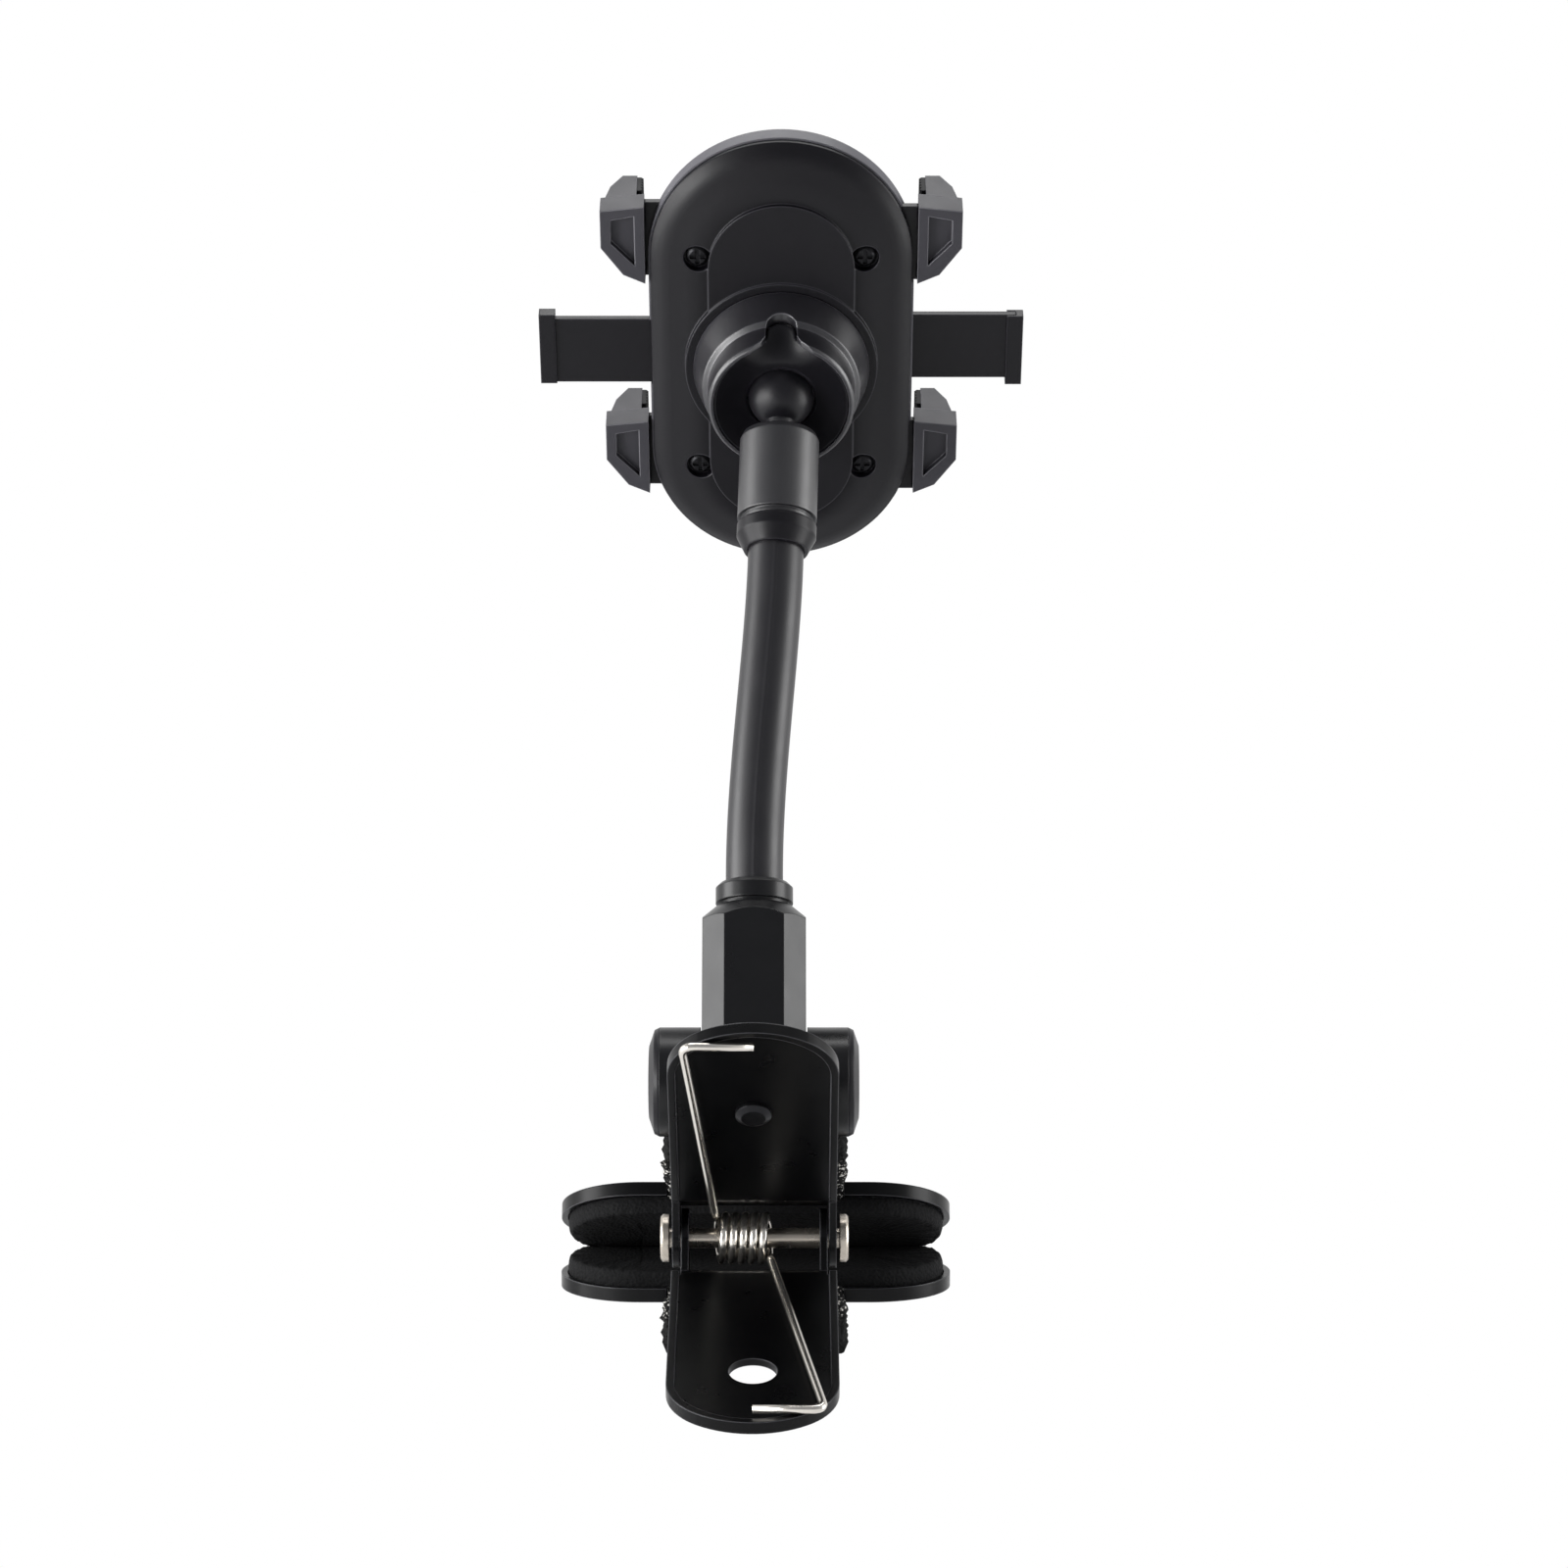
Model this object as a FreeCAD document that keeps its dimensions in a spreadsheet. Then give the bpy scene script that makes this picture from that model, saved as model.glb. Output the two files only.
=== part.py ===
# Guitar phone holder: a spring clip for the headstock, a tilting bendable neck, a phone cradle on a ball.
import FreeCAD, Part
import math
import os
import re
import Sketcher

V = FreeCAD.Vector
X_AXIS = V(1, 0, 0)
Y_AXIS = V(0, 1, 0)
Z_AXIS = V(0, 0, 1)

# Driving sizes in millimetres and degrees
SIZES = {
    # Clip: two stamped levers on one pin
    "jaw_reach": 42,
    "sheet_gauge": 1.6,
    "handle_width": 34.4,
    "handle_length": 61.5,
    "handle_slope": 31,
    "handle_crown": 10,
    "handle_corner": 14,
    "handle_rim": 2.6,
    "hang_hole": 9.7,
    "hang_hole_place": 40.4,
    "foot_screw_place": 32.6,
    "bend_back": 9,
    "plate_rise": 7.8,
    "throat_start": 7,
    "crest_start": 15,
    "crest_end": 20,
    "crest_rise": 20.8,
    "bend_round": 3.5,
    "ear_round": 6.2,
    "ear_clearance": 0.3,
    "pin_diameter": 4.2,
    "pin_head_diameter": 10,
    "pin_head_height": 1.8,
    "pin_play": 0.7,
    "pin_clearance": 0.05,
    "wing_width": 85.4,
    "wing_depth": 36,
    "wing_slope": 14,
    "wing_near": 3.4,
    "wing_rise": 8.6,
    "wing_rim": 3,
    "rim_gauge": 1.4,
    "foam_thickness": 5,
    "foam_clearance": 0.15,
    "liner_thickness": 2.2,
    "liner_width": 38,
    "coil_radius": 4.7,
    "coil_pitch": 2.1,
    "coil_turns": 5.5,
    "coil_start": -8.1,
    "coil_wire": 1.75,
    "leg_clearance": 0.15,
    "upper_leg_reach": 58.2,
    "upper_leg_side": -14,
    "upper_leg_hook": 14.2,
    "lower_leg_reach": 58.2,
    "lower_leg_side": 14.2,
    "lower_leg_hook": 14.2,
    # Tilting hinge on the upper lever
    "hinge_back": 19.4,
    "hinge_rise": 31.4,
    "barrel_diameter": 22.6,
    "cheek_width": 8.4,
    "cheek_clearance": 0.3,
    "cap_height": 2.2,
    "foot_width": 33,
    "foot_height": 4,
    "foot_start": 11,
    "foot_end": 43,
    "bolt_diameter": 5,
    "bolt_head_diameter": 9,
    "bolt_head_height": 3,
    "foot_screw_diameter": 4,
    "foot_screw_head_diameter": 7.4,
    "foot_screw_head_height": 1.6,
    # Neck
    "neck_lean": 7.4,
    "socket_width": 21.5,
    "socket_corner": 4.6,
    "socket_length": 37,
    "socket_taper": 3.5,
    "tube_diameter": 12,
    "core_diameter": 7.8,
    "core_clearance": 0.2,
    "tube_depth": 14,
    "fit_clearance": 0.05,
    "collar_diameter": 16.2,
    "collar_height": 4.2,
    "collar_gap": 0.9,
    # Ball stem, its zero at the ball
    "ball_side": 5.6,
    "ball_back": 33.5,
    "ball_rise": 183.4,
    "stem_lean": 13,
    "stem_roll": 1.8,
    "ball_diameter": 14.4,
    "stem_diameter": 6.2,
    "sleeve_start": 9.4,
    "sleeve_end": 29.8,
    "sleeve_diameter": 17.2,
    "sleeve_round": 1.8,
    "groove_width": 1.1,
    "groove_depth": 0.9,
    "spigot_diameter": 9.6,
    "spigot_length": 3.4,
    "ferrule_length": 6.2,
    "ferrule_straight": 2.8,
    "ferrule_end_diameter": 13.8,
    # Cradle, its zero on the parting plane
    "cradle_tilt": 45,
    "ball_height": 18.5,
    "cradle_width": 58.2,
    "cradle_run": 48.4,
    "shell_depth": 5.8,
    "shell_wall": 1.8,
    "shell_floor": 1.2,
    "shell_round": 2.5,
    "cover_inset": 0.4,
    "cover_rim": 1.2,
    "crown_height": 5.4,
    "crown_edge_slope": 52,
    "crown_slope": 74,
    "crown_edge_round": 8,
    "crown_round": 16,
    "panel_width": 32,
    "panel_height": 1,
    "cavity_height": 1.9,
    "screw_across": 36.4,
    "screw_along": 53.2,
    "screw_diameter": 2.6,
    "screw_head_diameter": 5.2,
    "screw_head_height": 1.4,
    "counterbore_diameter": 6.2,
    "boss_diameter": 5,
    "seat_ring_diameter": 42.4,
    "thread_diameter": 28.6,
    "thread_height": 4.4,
    "thread_wall": 2.8,
    "cup_diameter": 16.8,
    "cup_rise": 1,
    "cup_slit": 0.8,
    "ball_clearance": 0.06,
    # Lock nut round the ball
    "nut_base_diameter": 38.8,
    "nut_height": 15.6,
    "nut_mouth_diameter": 32.4,
    "nut_wall": 1.4,
    "nut_step_height": 8.2,
    "nut_waist_diameter": 34.6,
    "nut_lip_diameter": 17.4,
    "nut_lip_height": 2,
    "nut_clearance": 0.3,
    "nut_slot_width": 6.8,
    "nut_slot_depth": 9.4,
    "nut_slot_flare": 3.4,
    "nut_bevel": 0.7,
    # Sliders, clamps, rack and pinion
    "plate_gauge": 1.6,
    "plate_gap": 0.3,
    "plate_top": 0.6,
    "slot_clearance": 0.3,
    "tab_width": 16,
    "tab_reach": 52,
    "tab_start": 21.5,
    "bridge_start": 6.6,
    "bridge_width": 3.8,
    "tongue_low": 22.5,
    "tongue_height": 8,
    "tongue_end": 35,
    "rail_low": 18.2,
    "rail_width": 4.8,
    "arm_start": 21.5,
    "arm_height": 18,
    "grip_length": 3.6,
    "grip_lip": 1.4,
    "clamp_inner": 29.8,
    "clamp_outer": 39.4,
    "clamp_height": 18.9,
    "clamp_corner": 10,
    "clamp_back": 1.6,
    "clamp_front": 4.6,
    "clamp_recess": 1.6,
    "clamp_border": 2.2,
    "finger_reach": 14.6,
    "finger_step": 1,
    "finger_tip": 3.2,
    "pad_gauge": 1.4,
    "pad_rib": 0.5,
    "pad_pitch": 1.2,
    "pad_start": 7.8,
    "pad_height": 13.6,
    "pad_inner": 30.2,
    "gear_module": 1,
    "gear_teeth": 10,
    "gear_angle": 25,
    "gear_addendum": 0.7,
    "gear_dedendum": 0.95,
    "gear_backlash": 0.2,
    "axle_diameter": 4,
    "return_wire": 0.5,
    "return_diameter": 2.1,
    "return_offset": 13,
    "return_post": 19,
    "post_diameter": 1.6,
}

os.makedirs("parts", exist_ok=True)
doc = FreeCAD.newDocument("PhoneHolder")
sheet = doc.addObject("Spreadsheet::Sheet", "Sizes")
for row, (alias, amount) in enumerate(SIZES.items(), 1):
    sheet.set(f"A{row}", alias)
    sheet.set(f"B{row}", str(amount))
    sheet.setAlias(f"B{row}", alias)
doc.recompute()
nodes = []


def size(alias):
    """A driving size, read from the sheet."""
    return float(sheet.get(alias))


def bound(formula):
    """A formula in size names, with each name pointed at the sheet."""
    return re.sub(r"[a-z]+(?:_[a-z]+)+", lambda word: "Sizes." + word.group(0), formula)


def node(item, label, place=FreeCAD.Placement()):
    """Names a finished sub-part and puts it in its frame."""
    item.Label = label
    item.Placement = place
    nodes.append(item)
    return item


def solid(shape, label, place=FreeCAD.Placement()):
    """A sub-part whose shape is worked out from the sheet."""
    item = doc.addObject("Part::Feature", label)
    item.Shape = shape
    return node(item, label, place)


def origin_plane(body, role):
    """One of a body's own three planes."""
    return next(plane for plane in body.Origin.OriginFeatures if plane.Role == role)


def new_sketch(body, role, offset):
    """An empty drawing on a body's own plane, lifted by an offset."""
    drawing = body.newObject("Sketcher::SketchObject", "Drawing")
    drawing.AttachmentSupport = [(origin_plane(body, role), "")]
    drawing.MapMode = "FlatFace"
    drawing.setExpression("AttachmentOffset.Base.z", bound(offset))
    return drawing


def tie(drawing, kind, amount, *points):
    """A sketch dimension bound to a formula."""
    index = drawing.addConstraint(Sketcher.Constraint(kind, *points, 1.0))
    drawing.setExpression(f"Constraints[{index}]", bound(amount))


def outline(body, role, corners, offset="0"):
    """A closed outline of straight sides, each corner an across and an up formula."""
    drawing = new_sketch(body, role, offset)
    count = len(corners)
    turn = 2 * math.pi / count
    ring = [V(math.cos(n * turn), math.sin(n * turn), 0) for n in range(count)]
    for n in range(count):
        drawing.addGeometry(Part.LineSegment(ring[n], ring[(n + 1) % count]), False)
    for n in range(count):
        drawing.addConstraint(Sketcher.Constraint("Coincident", n, 2, (n + 1) % count, 1))
    for n, (across, up) in enumerate(corners):
        tie(drawing, "DistanceX", across, -1, 1, n, 1)
        tie(drawing, "DistanceY", up, -1, 1, n, 1)
    return drawing


def racetrack(body, radius, half_run, offset="0"):
    """A closed outline of two half circles and two straight sides along the second axis."""
    drawing = new_sketch(body, "XY_Plane", offset)
    drawing.addGeometry(Part.ArcOfCircle(Part.Circle(V(0, 9, 0), Z_AXIS, 5), 0, math.pi), False)
    drawing.addGeometry(Part.ArcOfCircle(Part.Circle(V(0, -9, 0), Z_AXIS, 5), math.pi, 2 * math.pi), False)
    drawing.addGeometry(Part.LineSegment(V(-5, 9, 0), V(-5, -9, 0)), False)
    drawing.addGeometry(Part.LineSegment(V(5, -9, 0), V(5, 9, 0)), False)
    for first, end, second, start in ((0, 2, 2, 1), (2, 2, 1, 1), (1, 2, 3, 1), (3, 2, 0, 1)):
        drawing.addConstraint(Sketcher.Constraint("Tangent", first, end, second, start))
    for arc, sign in ((0, ""), (1, "-")):
        drawing.addConstraint(Sketcher.Constraint("PointOnObject", arc, 3, -2))
        tie(drawing, "DistanceY", f"{sign}({half_run})", -1, 1, arc, 3)
    drawing.addConstraint(Sketcher.Constraint("Equal", 0, 1))
    tie(drawing, "Radius", radius, 0)
    return drawing


def circle(body, role, diameter, across="0", up="0", offset="0"):
    """A round outline."""
    drawing = new_sketch(body, role, offset)
    drawing.addGeometry(Part.Circle(V(1, 1, 0), Z_AXIS, 2), False)
    tie(drawing, "DistanceX", across, -1, 1, 0, 3)
    tie(drawing, "DistanceY", up, -1, 1, 0, 3)
    tie(drawing, "Diameter", diameter, 0)
    return drawing


def feature(body, kind, drawing, length, both=False, back=False, taper=None):
    """A pad or a pocket of a drawing, forwards, backwards or to both sides."""
    made = body.newObject(kind, "Feature")
    made.Profile = drawing
    made.setExpression("Length", bound(length))
    made.Midplane = both
    made.Reversed = back
    if taper:
        made.setExpression("TaperAngle", bound(taper))
    return made


def pad(body, drawing, length, **ways):
    return feature(body, "PartDesign::Pad", drawing, length, **ways)


def pocket(body, drawing, length, **ways):
    """A cut, compared with what stood before it so that none passes by the solid."""
    doc.recompute()
    before = body.Shape.Volume
    made = feature(body, "PartDesign::Pocket", drawing, length, **ways)
    doc.recompute()
    if body.Shape.Volume >= before:
        raise RuntimeError("a cut in " + body.Name + " removed nothing")
    return made


def turn(body, drawing, kind="PartDesign::Revolution"):
    """A drawing on the front plane, turned about the upright axis."""
    made = body.newObject(kind, "Turned")
    made.Profile = drawing
    made.ReferenceAxis = (drawing, ["V_Axis"])
    made.Angle = 360
    return made


def turned(name, profile):
    """A body turned from a half section."""
    body = doc.addObject("PartDesign::Body", name)
    turn(body, outline(body, "XZ_Plane", profile))
    return body


def round_edges(body, radius, chosen):
    """A fillet on those edges of a body that the test picks."""
    doc.recompute()
    base = body.Tip
    names = [f"Edge{n}" for n, edge in enumerate(base.Shape.Edges, 1) if chosen(edge)]
    made = body.newObject("PartDesign::Fillet", "Rounded")
    made.Base = (base, names)
    made.setExpression("Radius", bound(radius))
    return made


def level_edge(edge, height):
    """Whether an edge lies flat at a height."""
    slack = size("fit_clearance")
    return edge.BoundBox.ZLength < slack and abs(edge.BoundBox.ZMax - height) < slack


def box(left, right, low, high):
    """Four corner formulas of a rectangle."""
    return [(left, low), (right, low), (right, high), (left, high)]


def rod(start, end, diameter):
    """A straight round bar between two points."""
    return Part.makeCylinder(diameter / 2, (end - start).Length, start, end - start)


def joined(shapes):
    """One solid from pieces that meet."""
    return shapes[0].fuse(shapes[1:]).removeSplitter()


# Frames that the pieces are drawn in
pivot = V(0, -size("jaw_reach"), 0)
hinge = pivot + V(0, -size("hinge_back"), size("hinge_rise"))
ball = V(size("ball_side"), -size("ball_back"), size("ball_rise"))
neck_frame = FreeCAD.Placement(hinge, FreeCAD.Rotation(X_AXIS, -size("neck_lean")))
stem_turn = FreeCAD.Rotation(X_AXIS, 180 - size("stem_lean"))
stem_frame = FreeCAD.Placement(ball, FreeCAD.Rotation(Y_AXIS, size("stem_roll")).multiply(stem_turn))
cradle_turn = FreeCAD.Rotation(X_AXIS, 90 + size("cradle_tilt"))
cradle_frame = FreeCAD.Placement(ball - cradle_turn.multVec(V(0, 0, size("ball_height"))), cradle_turn)
pivot_frame = FreeCAD.Placement(pivot, FreeCAD.Rotation())
slope = math.radians(size("handle_slope"))
handle_run = V(0, -math.cos(slope), math.sin(slope))
handle_out = V(0, math.sin(slope), math.cos(slope))
handle_bend = V(0, -size("bend_back"), size("plate_rise"))
handle_frame = FreeCAD.Placement(handle_bend, FreeCAD.Rotation(X_AXIS, handle_run, -handle_out))
wing_frame = FreeCAD.Placement(
    V(0, size("jaw_reach"), size("wing_rise")), FreeCAD.Rotation(X_AXIS, -size("wing_slope"))
)
gauge = size("sheet_gauge")
wing_near = size("wing_depth") / 2 - size("wing_near")


def bent_strip(line, low, high, width):
    """A strip bent along a line, between two offsets from it, with a round bend at each inner point."""
    bend = size("bend_round")

    def beside(offset):
        heads = [(line[n + 1] - line[n]).normalize() for n in range(len(line) - 1)]
        sides = [V(0, -head.z, head.y) for head in heads]
        at = line[0] + sides[0] * offset
        edges = []
        for n in range(1, len(line) - 1):
            swing = math.asin(heads[n - 1].cross(heads[n]).x)
            reach = bend * math.tan(abs(swing) / 2)
            hand = math.copysign(1, swing)
            centre = line[n] - heads[n - 1] * reach + sides[n - 1] * (bend * hand)
            radius = bend - hand * offset
            enter = centre - sides[n - 1] * (radius * hand)
            leave = centre - sides[n] * (radius * hand)
            middle = centre + (line[n] - centre).normalize() * radius
            edges.append(Part.LineSegment(at, enter).toShape())
            edges.append(Part.Arc(enter, middle, leave).toShape())
            at = leave
        end = line[-1] + sides[-1] * offset
        edges.append(Part.LineSegment(at, end).toShape())
        return edges, line[0] + sides[0] * offset, end

    top, top_start, top_end = beside(high)
    under, under_start, under_end = beside(low)
    caps = [Part.LineSegment(*ends).toShape() for ends in ((top_start, under_start), (top_end, under_end))]
    face = Part.Face(Part.Wire(Part.__sortEdges__(top + under + caps)))
    return face.extrude(V(width, 0, 0)).translated(V(-width / 2, 0, 0))


def handle_face(half_width, length, start):
    """A handle's plan: straight sides and a crowned end."""
    shoulder = length - size("handle_crown")
    left = V(-half_width, shoulder, 0)
    right = V(half_width, shoulder, 0)
    sides = [V(half_width, start, 0), V(-half_width, start, 0)]
    edges = [
        Part.LineSegment(sides[1], left).toShape(),
        Part.Arc(left, V(0, length, 0), right).toShape(),
        Part.LineSegment(right, sides[0]).toShape(),
        Part.LineSegment(sides[0], sides[1]).toShape(),
    ]
    return Part.Face(Part.Wire(edges))


def eased(slab, radius):
    """A handle's slab with the two upright edges at its shoulders rounded."""
    middle = size("handle_length") / 2

    def shoulder(edge):
        return edge.BoundBox.YMin > middle and edge.BoundBox.XLength < gauge / 2

    return slab.makeFillet(radius, [edge for edge in slab.Edges if shoulder(edge)])


def wing_face(inset):
    """A wing's plan: a racetrack that lies across the jaw, drawn in from its edge."""
    radius = size("wing_depth") / 2 - inset
    run = (size("wing_width") - size("wing_depth")) / 2
    corners = [V(-run, -radius, 0), V(run, -radius, 0), V(run, radius, 0), V(-run, radius, 0)]
    edges = [
        Part.LineSegment(corners[0], corners[1]).toShape(),
        Part.Arc(corners[1], V(run + radius, 0, 0), corners[2]).toShape(),
        Part.LineSegment(corners[2], corners[3]).toShape(),
        Part.Arc(corners[3], V(-run - radius, 0, 0), corners[0]).toShape(),
    ]
    return Part.Face(Part.Wire(edges))


def raised(face, low, high):
    """A flat face carried from one height to another."""
    return face.translated(V(0, 0, low)).extrude(V(0, 0, high - low))


def placed(shape, frame):
    """A shape carried from a frame into the clip's own frame."""
    moved = shape.copy()
    moved.Placement = frame.multiply(moved.Placement)
    return moved


def jaw_line(first):
    """The line of the bent sheet from the handle, or from its throat, out to the wing."""
    wing_run = wing_frame.Rotation.multVec(V(0, 1, 0))
    wing_middle = wing_frame.multVec(V(0, 0, -gauge / 2))
    crest = [V(0, size("crest_start"), size("crest_rise")), V(0, size("crest_end"), size("crest_rise"))]
    return first + crest + [wing_middle - wing_run * wing_near, wing_middle]


def lever(ear_outside, hole_place, hole_diameter):
    """A stamped lever: rimmed handle, pivot ears, bowed throat and rimmed wing, in the pivot's frame."""
    half = size("handle_width") / 2
    rim = size("handle_rim") - gauge / 2
    pan = raised(handle_face(half, size("handle_length"), gauge), -gauge / 2, rim)
    pan = eased(pan, size("handle_corner"))
    well = raised(handle_face(half - gauge, size("handle_length") - gauge, -half), gauge / 2, rim)
    well = eased(well, size("handle_corner") - gauge)
    hole = Part.makeCylinder(hole_diameter / 2, 2 * rim, V(0, hole_place, -rim), Z_AXIS)
    throat = V(0, size("throat_start"), size("plate_rise"))
    start = [handle_bend + handle_run * half, handle_bend, throat]
    strip = bent_strip(jaw_line(start), -gauge / 2, gauge / 2, 2 * ear_outside)
    pan = pan.cut(well)
    tray = raised(wing_face(0), -size("wing_rim"), 0)
    tray = tray.cut(raised(wing_face(size("rim_gauge")), -size("wing_rim"), -gauge))
    liner = size("liner_width") / 2 + size("foam_clearance")
    depth = size("wing_depth") / 2
    mouth = Part.makeBox(2 * liner, depth, size("wing_rim") - gauge, V(-liner, -depth, -size("wing_rim")))
    gate_depth = size("wing_near") + size("bend_round") / 2
    gate = Part.makeBox(2 * liner, gate_depth, size("wing_rim"), V(-liner, -depth, -size("wing_rim")))
    tray = tray.cut(mouth.fuse(gate))
    ears = [pivot_ear(-ear_outside), pivot_ear(ear_outside - gauge)]
    body = joined([strip, placed(pan, handle_frame), placed(tray, wing_frame)] + ears)
    return body.cut(placed(hole, handle_frame))


def pivot_ear(side):
    """A pivot ear: a disc round the pin that spreads up into the sheet."""
    reach = size("ear_round")
    rise = size("plate_rise")
    corners = [V(side, -reach, 0), V(side, reach, 0), V(side, size("throat_start"), rise)]
    corners.append(V(side, -size("bend_back"), rise))
    web = Part.Face(Part.makePolygon(corners + corners[:1])).extrude(V(gauge, 0, 0))
    disc = Part.makeCylinder(reach, gauge, V(side, 0, 0), X_AXIS)
    hole_radius = size("pin_diameter") / 2 + size("pin_clearance")
    hole = Part.makeCylinder(hole_radius, gauge, V(side, 0, 0), X_AXIS)
    return web.fuse(disc).cut(hole)


def jaw_foam():
    """The soft lining of a jaw: a thick pad in the wing and a thin tongue up the throat."""
    low = -gauge - size("foam_thickness")
    cushion = raised(wing_face(size("rim_gauge") + size("foam_clearance")), low, -gauge)
    throat = V(0, size("throat_start"), size("plate_rise"))
    crest = V(0, size("crest_start"), size("crest_rise"))
    liner_share = 0.45
    start = throat + (crest - throat) * liner_share
    tongue = bent_strip(
        jaw_line([start]), -gauge / 2 - size("liner_thickness"), -gauge / 2, size("liner_width")
    )
    lining = joined([placed(cushion, wing_frame), tongue])
    width = size("wing_width")
    far_side = Part.makeBox(2 * width, 2 * width, width, V(-width, -width, size("foam_clearance") - width))
    return lining.cut(far_side)


def mirrored(shape):
    """The lower lever's hand of an upper shape."""
    return shape.mirror(V(0, 0, 0), Z_AXIS)


half_handle = size("handle_width") / 2
inner_ear = half_handle - gauge - size("ear_clearance")
screw_hole = size("foot_screw_diameter") + 4 * size("fit_clearance")
upper = lever(half_handle, size("foot_screw_place"), screw_hole)
lower = lever(inner_ear, size("hang_hole_place"), size("hang_hole"))
solid(upper, "upper_lever", pivot_frame)
solid(mirrored(lower), "lower_lever", pivot_frame)
solid(jaw_foam(), "upper_jaw_foam", pivot_frame)
solid(mirrored(jaw_foam()), "lower_jaw_foam", pivot_frame)

# Pivot pin: a shank with a flat head at each end
pin_half = "(handle_width / 2 + pin_play)"
pin_profile = [
    ("0", f"-{pin_half} - pin_head_height"),
    ("pin_head_diameter / 2 - rim_gauge / 3", f"-{pin_half} - pin_head_height"),
    ("pin_head_diameter / 2", f"-{pin_half} - pin_head_height + rim_gauge / 3"),
    ("pin_head_diameter / 2", f"-{pin_half}"),
    ("pin_diameter / 2", f"-{pin_half}"),
    ("pin_diameter / 2", pin_half),
    ("pin_head_diameter / 2", pin_half),
    ("pin_head_diameter / 2", f"{pin_half} + pin_head_height - rim_gauge / 3"),
    ("pin_head_diameter / 2 - rim_gauge / 3", f"{pin_half} + pin_head_height"),
    ("0", f"{pin_half} + pin_head_height"),
]
across = FreeCAD.Rotation(Y_AXIS, 90)
node(turned("PivotPin", pin_profile), "pivot_pin", FreeCAD.Placement(pivot, across))


def wire_run(points, diameter):
    """Round wire through points, with a slightly upset round knuckle at each corner."""
    bars = [rod(points[n], points[n + 1], diameter) for n in range(len(points) - 1)]
    knuckle = diameter / 2 + size("pin_clearance")
    knuckles = [Part.makeSphere(knuckle, point) for point in points[:-1]]
    return bars + knuckles


def helix(pitch, turns, radius, wire, left_handed):
    """Round wire wound on a cylinder that stands on the upright axis."""
    path = Part.makeHelix(pitch, pitch * turns, radius, 0, left_handed)
    section = Part.Wire(Part.Circle(V(radius, 0, 0), V(0, 1, 0), wire / 2).toShape())
    return Part.Wire(path).makePipeShell([section], True, True)


def clip_spring():
    """The torsion spring: a coil round the pin and a hooked leg along each handle."""
    wire = size("coil_wire")
    radius = size("coil_radius")
    coil_end = size("coil_start") + size("coil_pitch") * size("coil_turns")
    coil = helix(size("coil_pitch"), size("coil_turns"), radius, wire, True)
    coil.Placement = FreeCAD.Placement(
        V(size("coil_start"), 0, 0), FreeCAD.Rotation(V(0, 0, 1), V(0, -1, 0), X_AXIS)
    )
    rest = gauge / 2 + wire / 2 + size("leg_clearance")
    knee = handle_bend - handle_out * rest - handle_run * (gauge + wire)

    above_rim = size("handle_rim") - gauge / 2 + wire / 2 + size("leg_clearance")

    def leg(begin, reach, side, hook, hand):
        tip = handle_bend + handle_run * reach - handle_out * above_rim
        points = [
            V(begin, 0, radius),
            V(begin, knee.y, knee.z),
            V(side, tip.y, tip.z),
            V(side + hook, tip.y, tip.z),
        ]
        return wire_run([V(point.x, point.y, point.z * hand) for point in points], wire)

    upper = leg(
        size("coil_start"), size("upper_leg_reach"), size("upper_leg_side"), size("upper_leg_hook"), 1
    )
    lower = leg(coil_end, size("lower_leg_reach"), size("lower_leg_side"), -size("lower_leg_hook"), -1)
    return joined([coil] + upper + lower)


solid(clip_spring(), "clip_spring", pivot_frame)

# Tilting hinge: a foot screwed to the upper lever with two cheeks, a bolt, a nut and two end caps
knuckle_half = "(socket_width / 2)"
cheek_inner = f"({knuckle_half} + cheek_clearance)"
cheek_outer = f"({cheek_inner} + cheek_width)"


def hinge_base():
    """The hinge's foot and cheeks, drawn along the handle with the barrel's axis as zero."""
    body = doc.addObject("PartDesign::Body", "HingeBase")
    pad(body, outline(body, "YZ_Plane", foot_section()), "foot_width", both=True)
    hollow = circle(body, "YZ_Plane", "barrel_diameter + 2 * cheek_clearance")
    pocket(body, hollow, f"2 * {cheek_inner}", both=True)
    for hand in ("", "-"):
        cheek = circle(body, "YZ_Plane", "barrel_diameter", offset=f"{hand}{cheek_inner}")
        pad(body, cheek, "cheek_width", back=bool(hand))
        web = outline(body, "YZ_Plane", cheek_web(), offset=f"{hand}{cheek_inner}")
        pad(body, web, f"foot_width / 2 - {cheek_inner}", back=bool(hand))
    bore = circle(body, "YZ_Plane", "bolt_diameter + 2 * fit_clearance")
    pocket(body, bore, f"4 * {cheek_outer}", both=True)
    for hand in ("", "-"):
        recess = circle(body, "YZ_Plane", recess_diameter, offset=f"{hand}{cheek_outer}")
        pocket(body, recess, "bolt_head_height + fit_clearance", back=bool(hand))
    thread = circle(
        body, "XY_Plane", "foot_screw_diameter + 2 * fit_clearance", up=f"{foot_shift} - foot_screw_place"
    )
    pocket(body, thread, "barrel_diameter", both=False)
    return body


recess_diameter = "(bolt_head_diameter + 4 * fit_clearance)"
reach_along = -(hinge - pivot - handle_bend).dot(handle_run)
reach_out = (hinge - pivot - handle_bend).dot(handle_out)
foot_shift = f"({-reach_along:.6f})"
seat_drop = f"({gauge / 2 - reach_out:.6f})"


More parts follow.
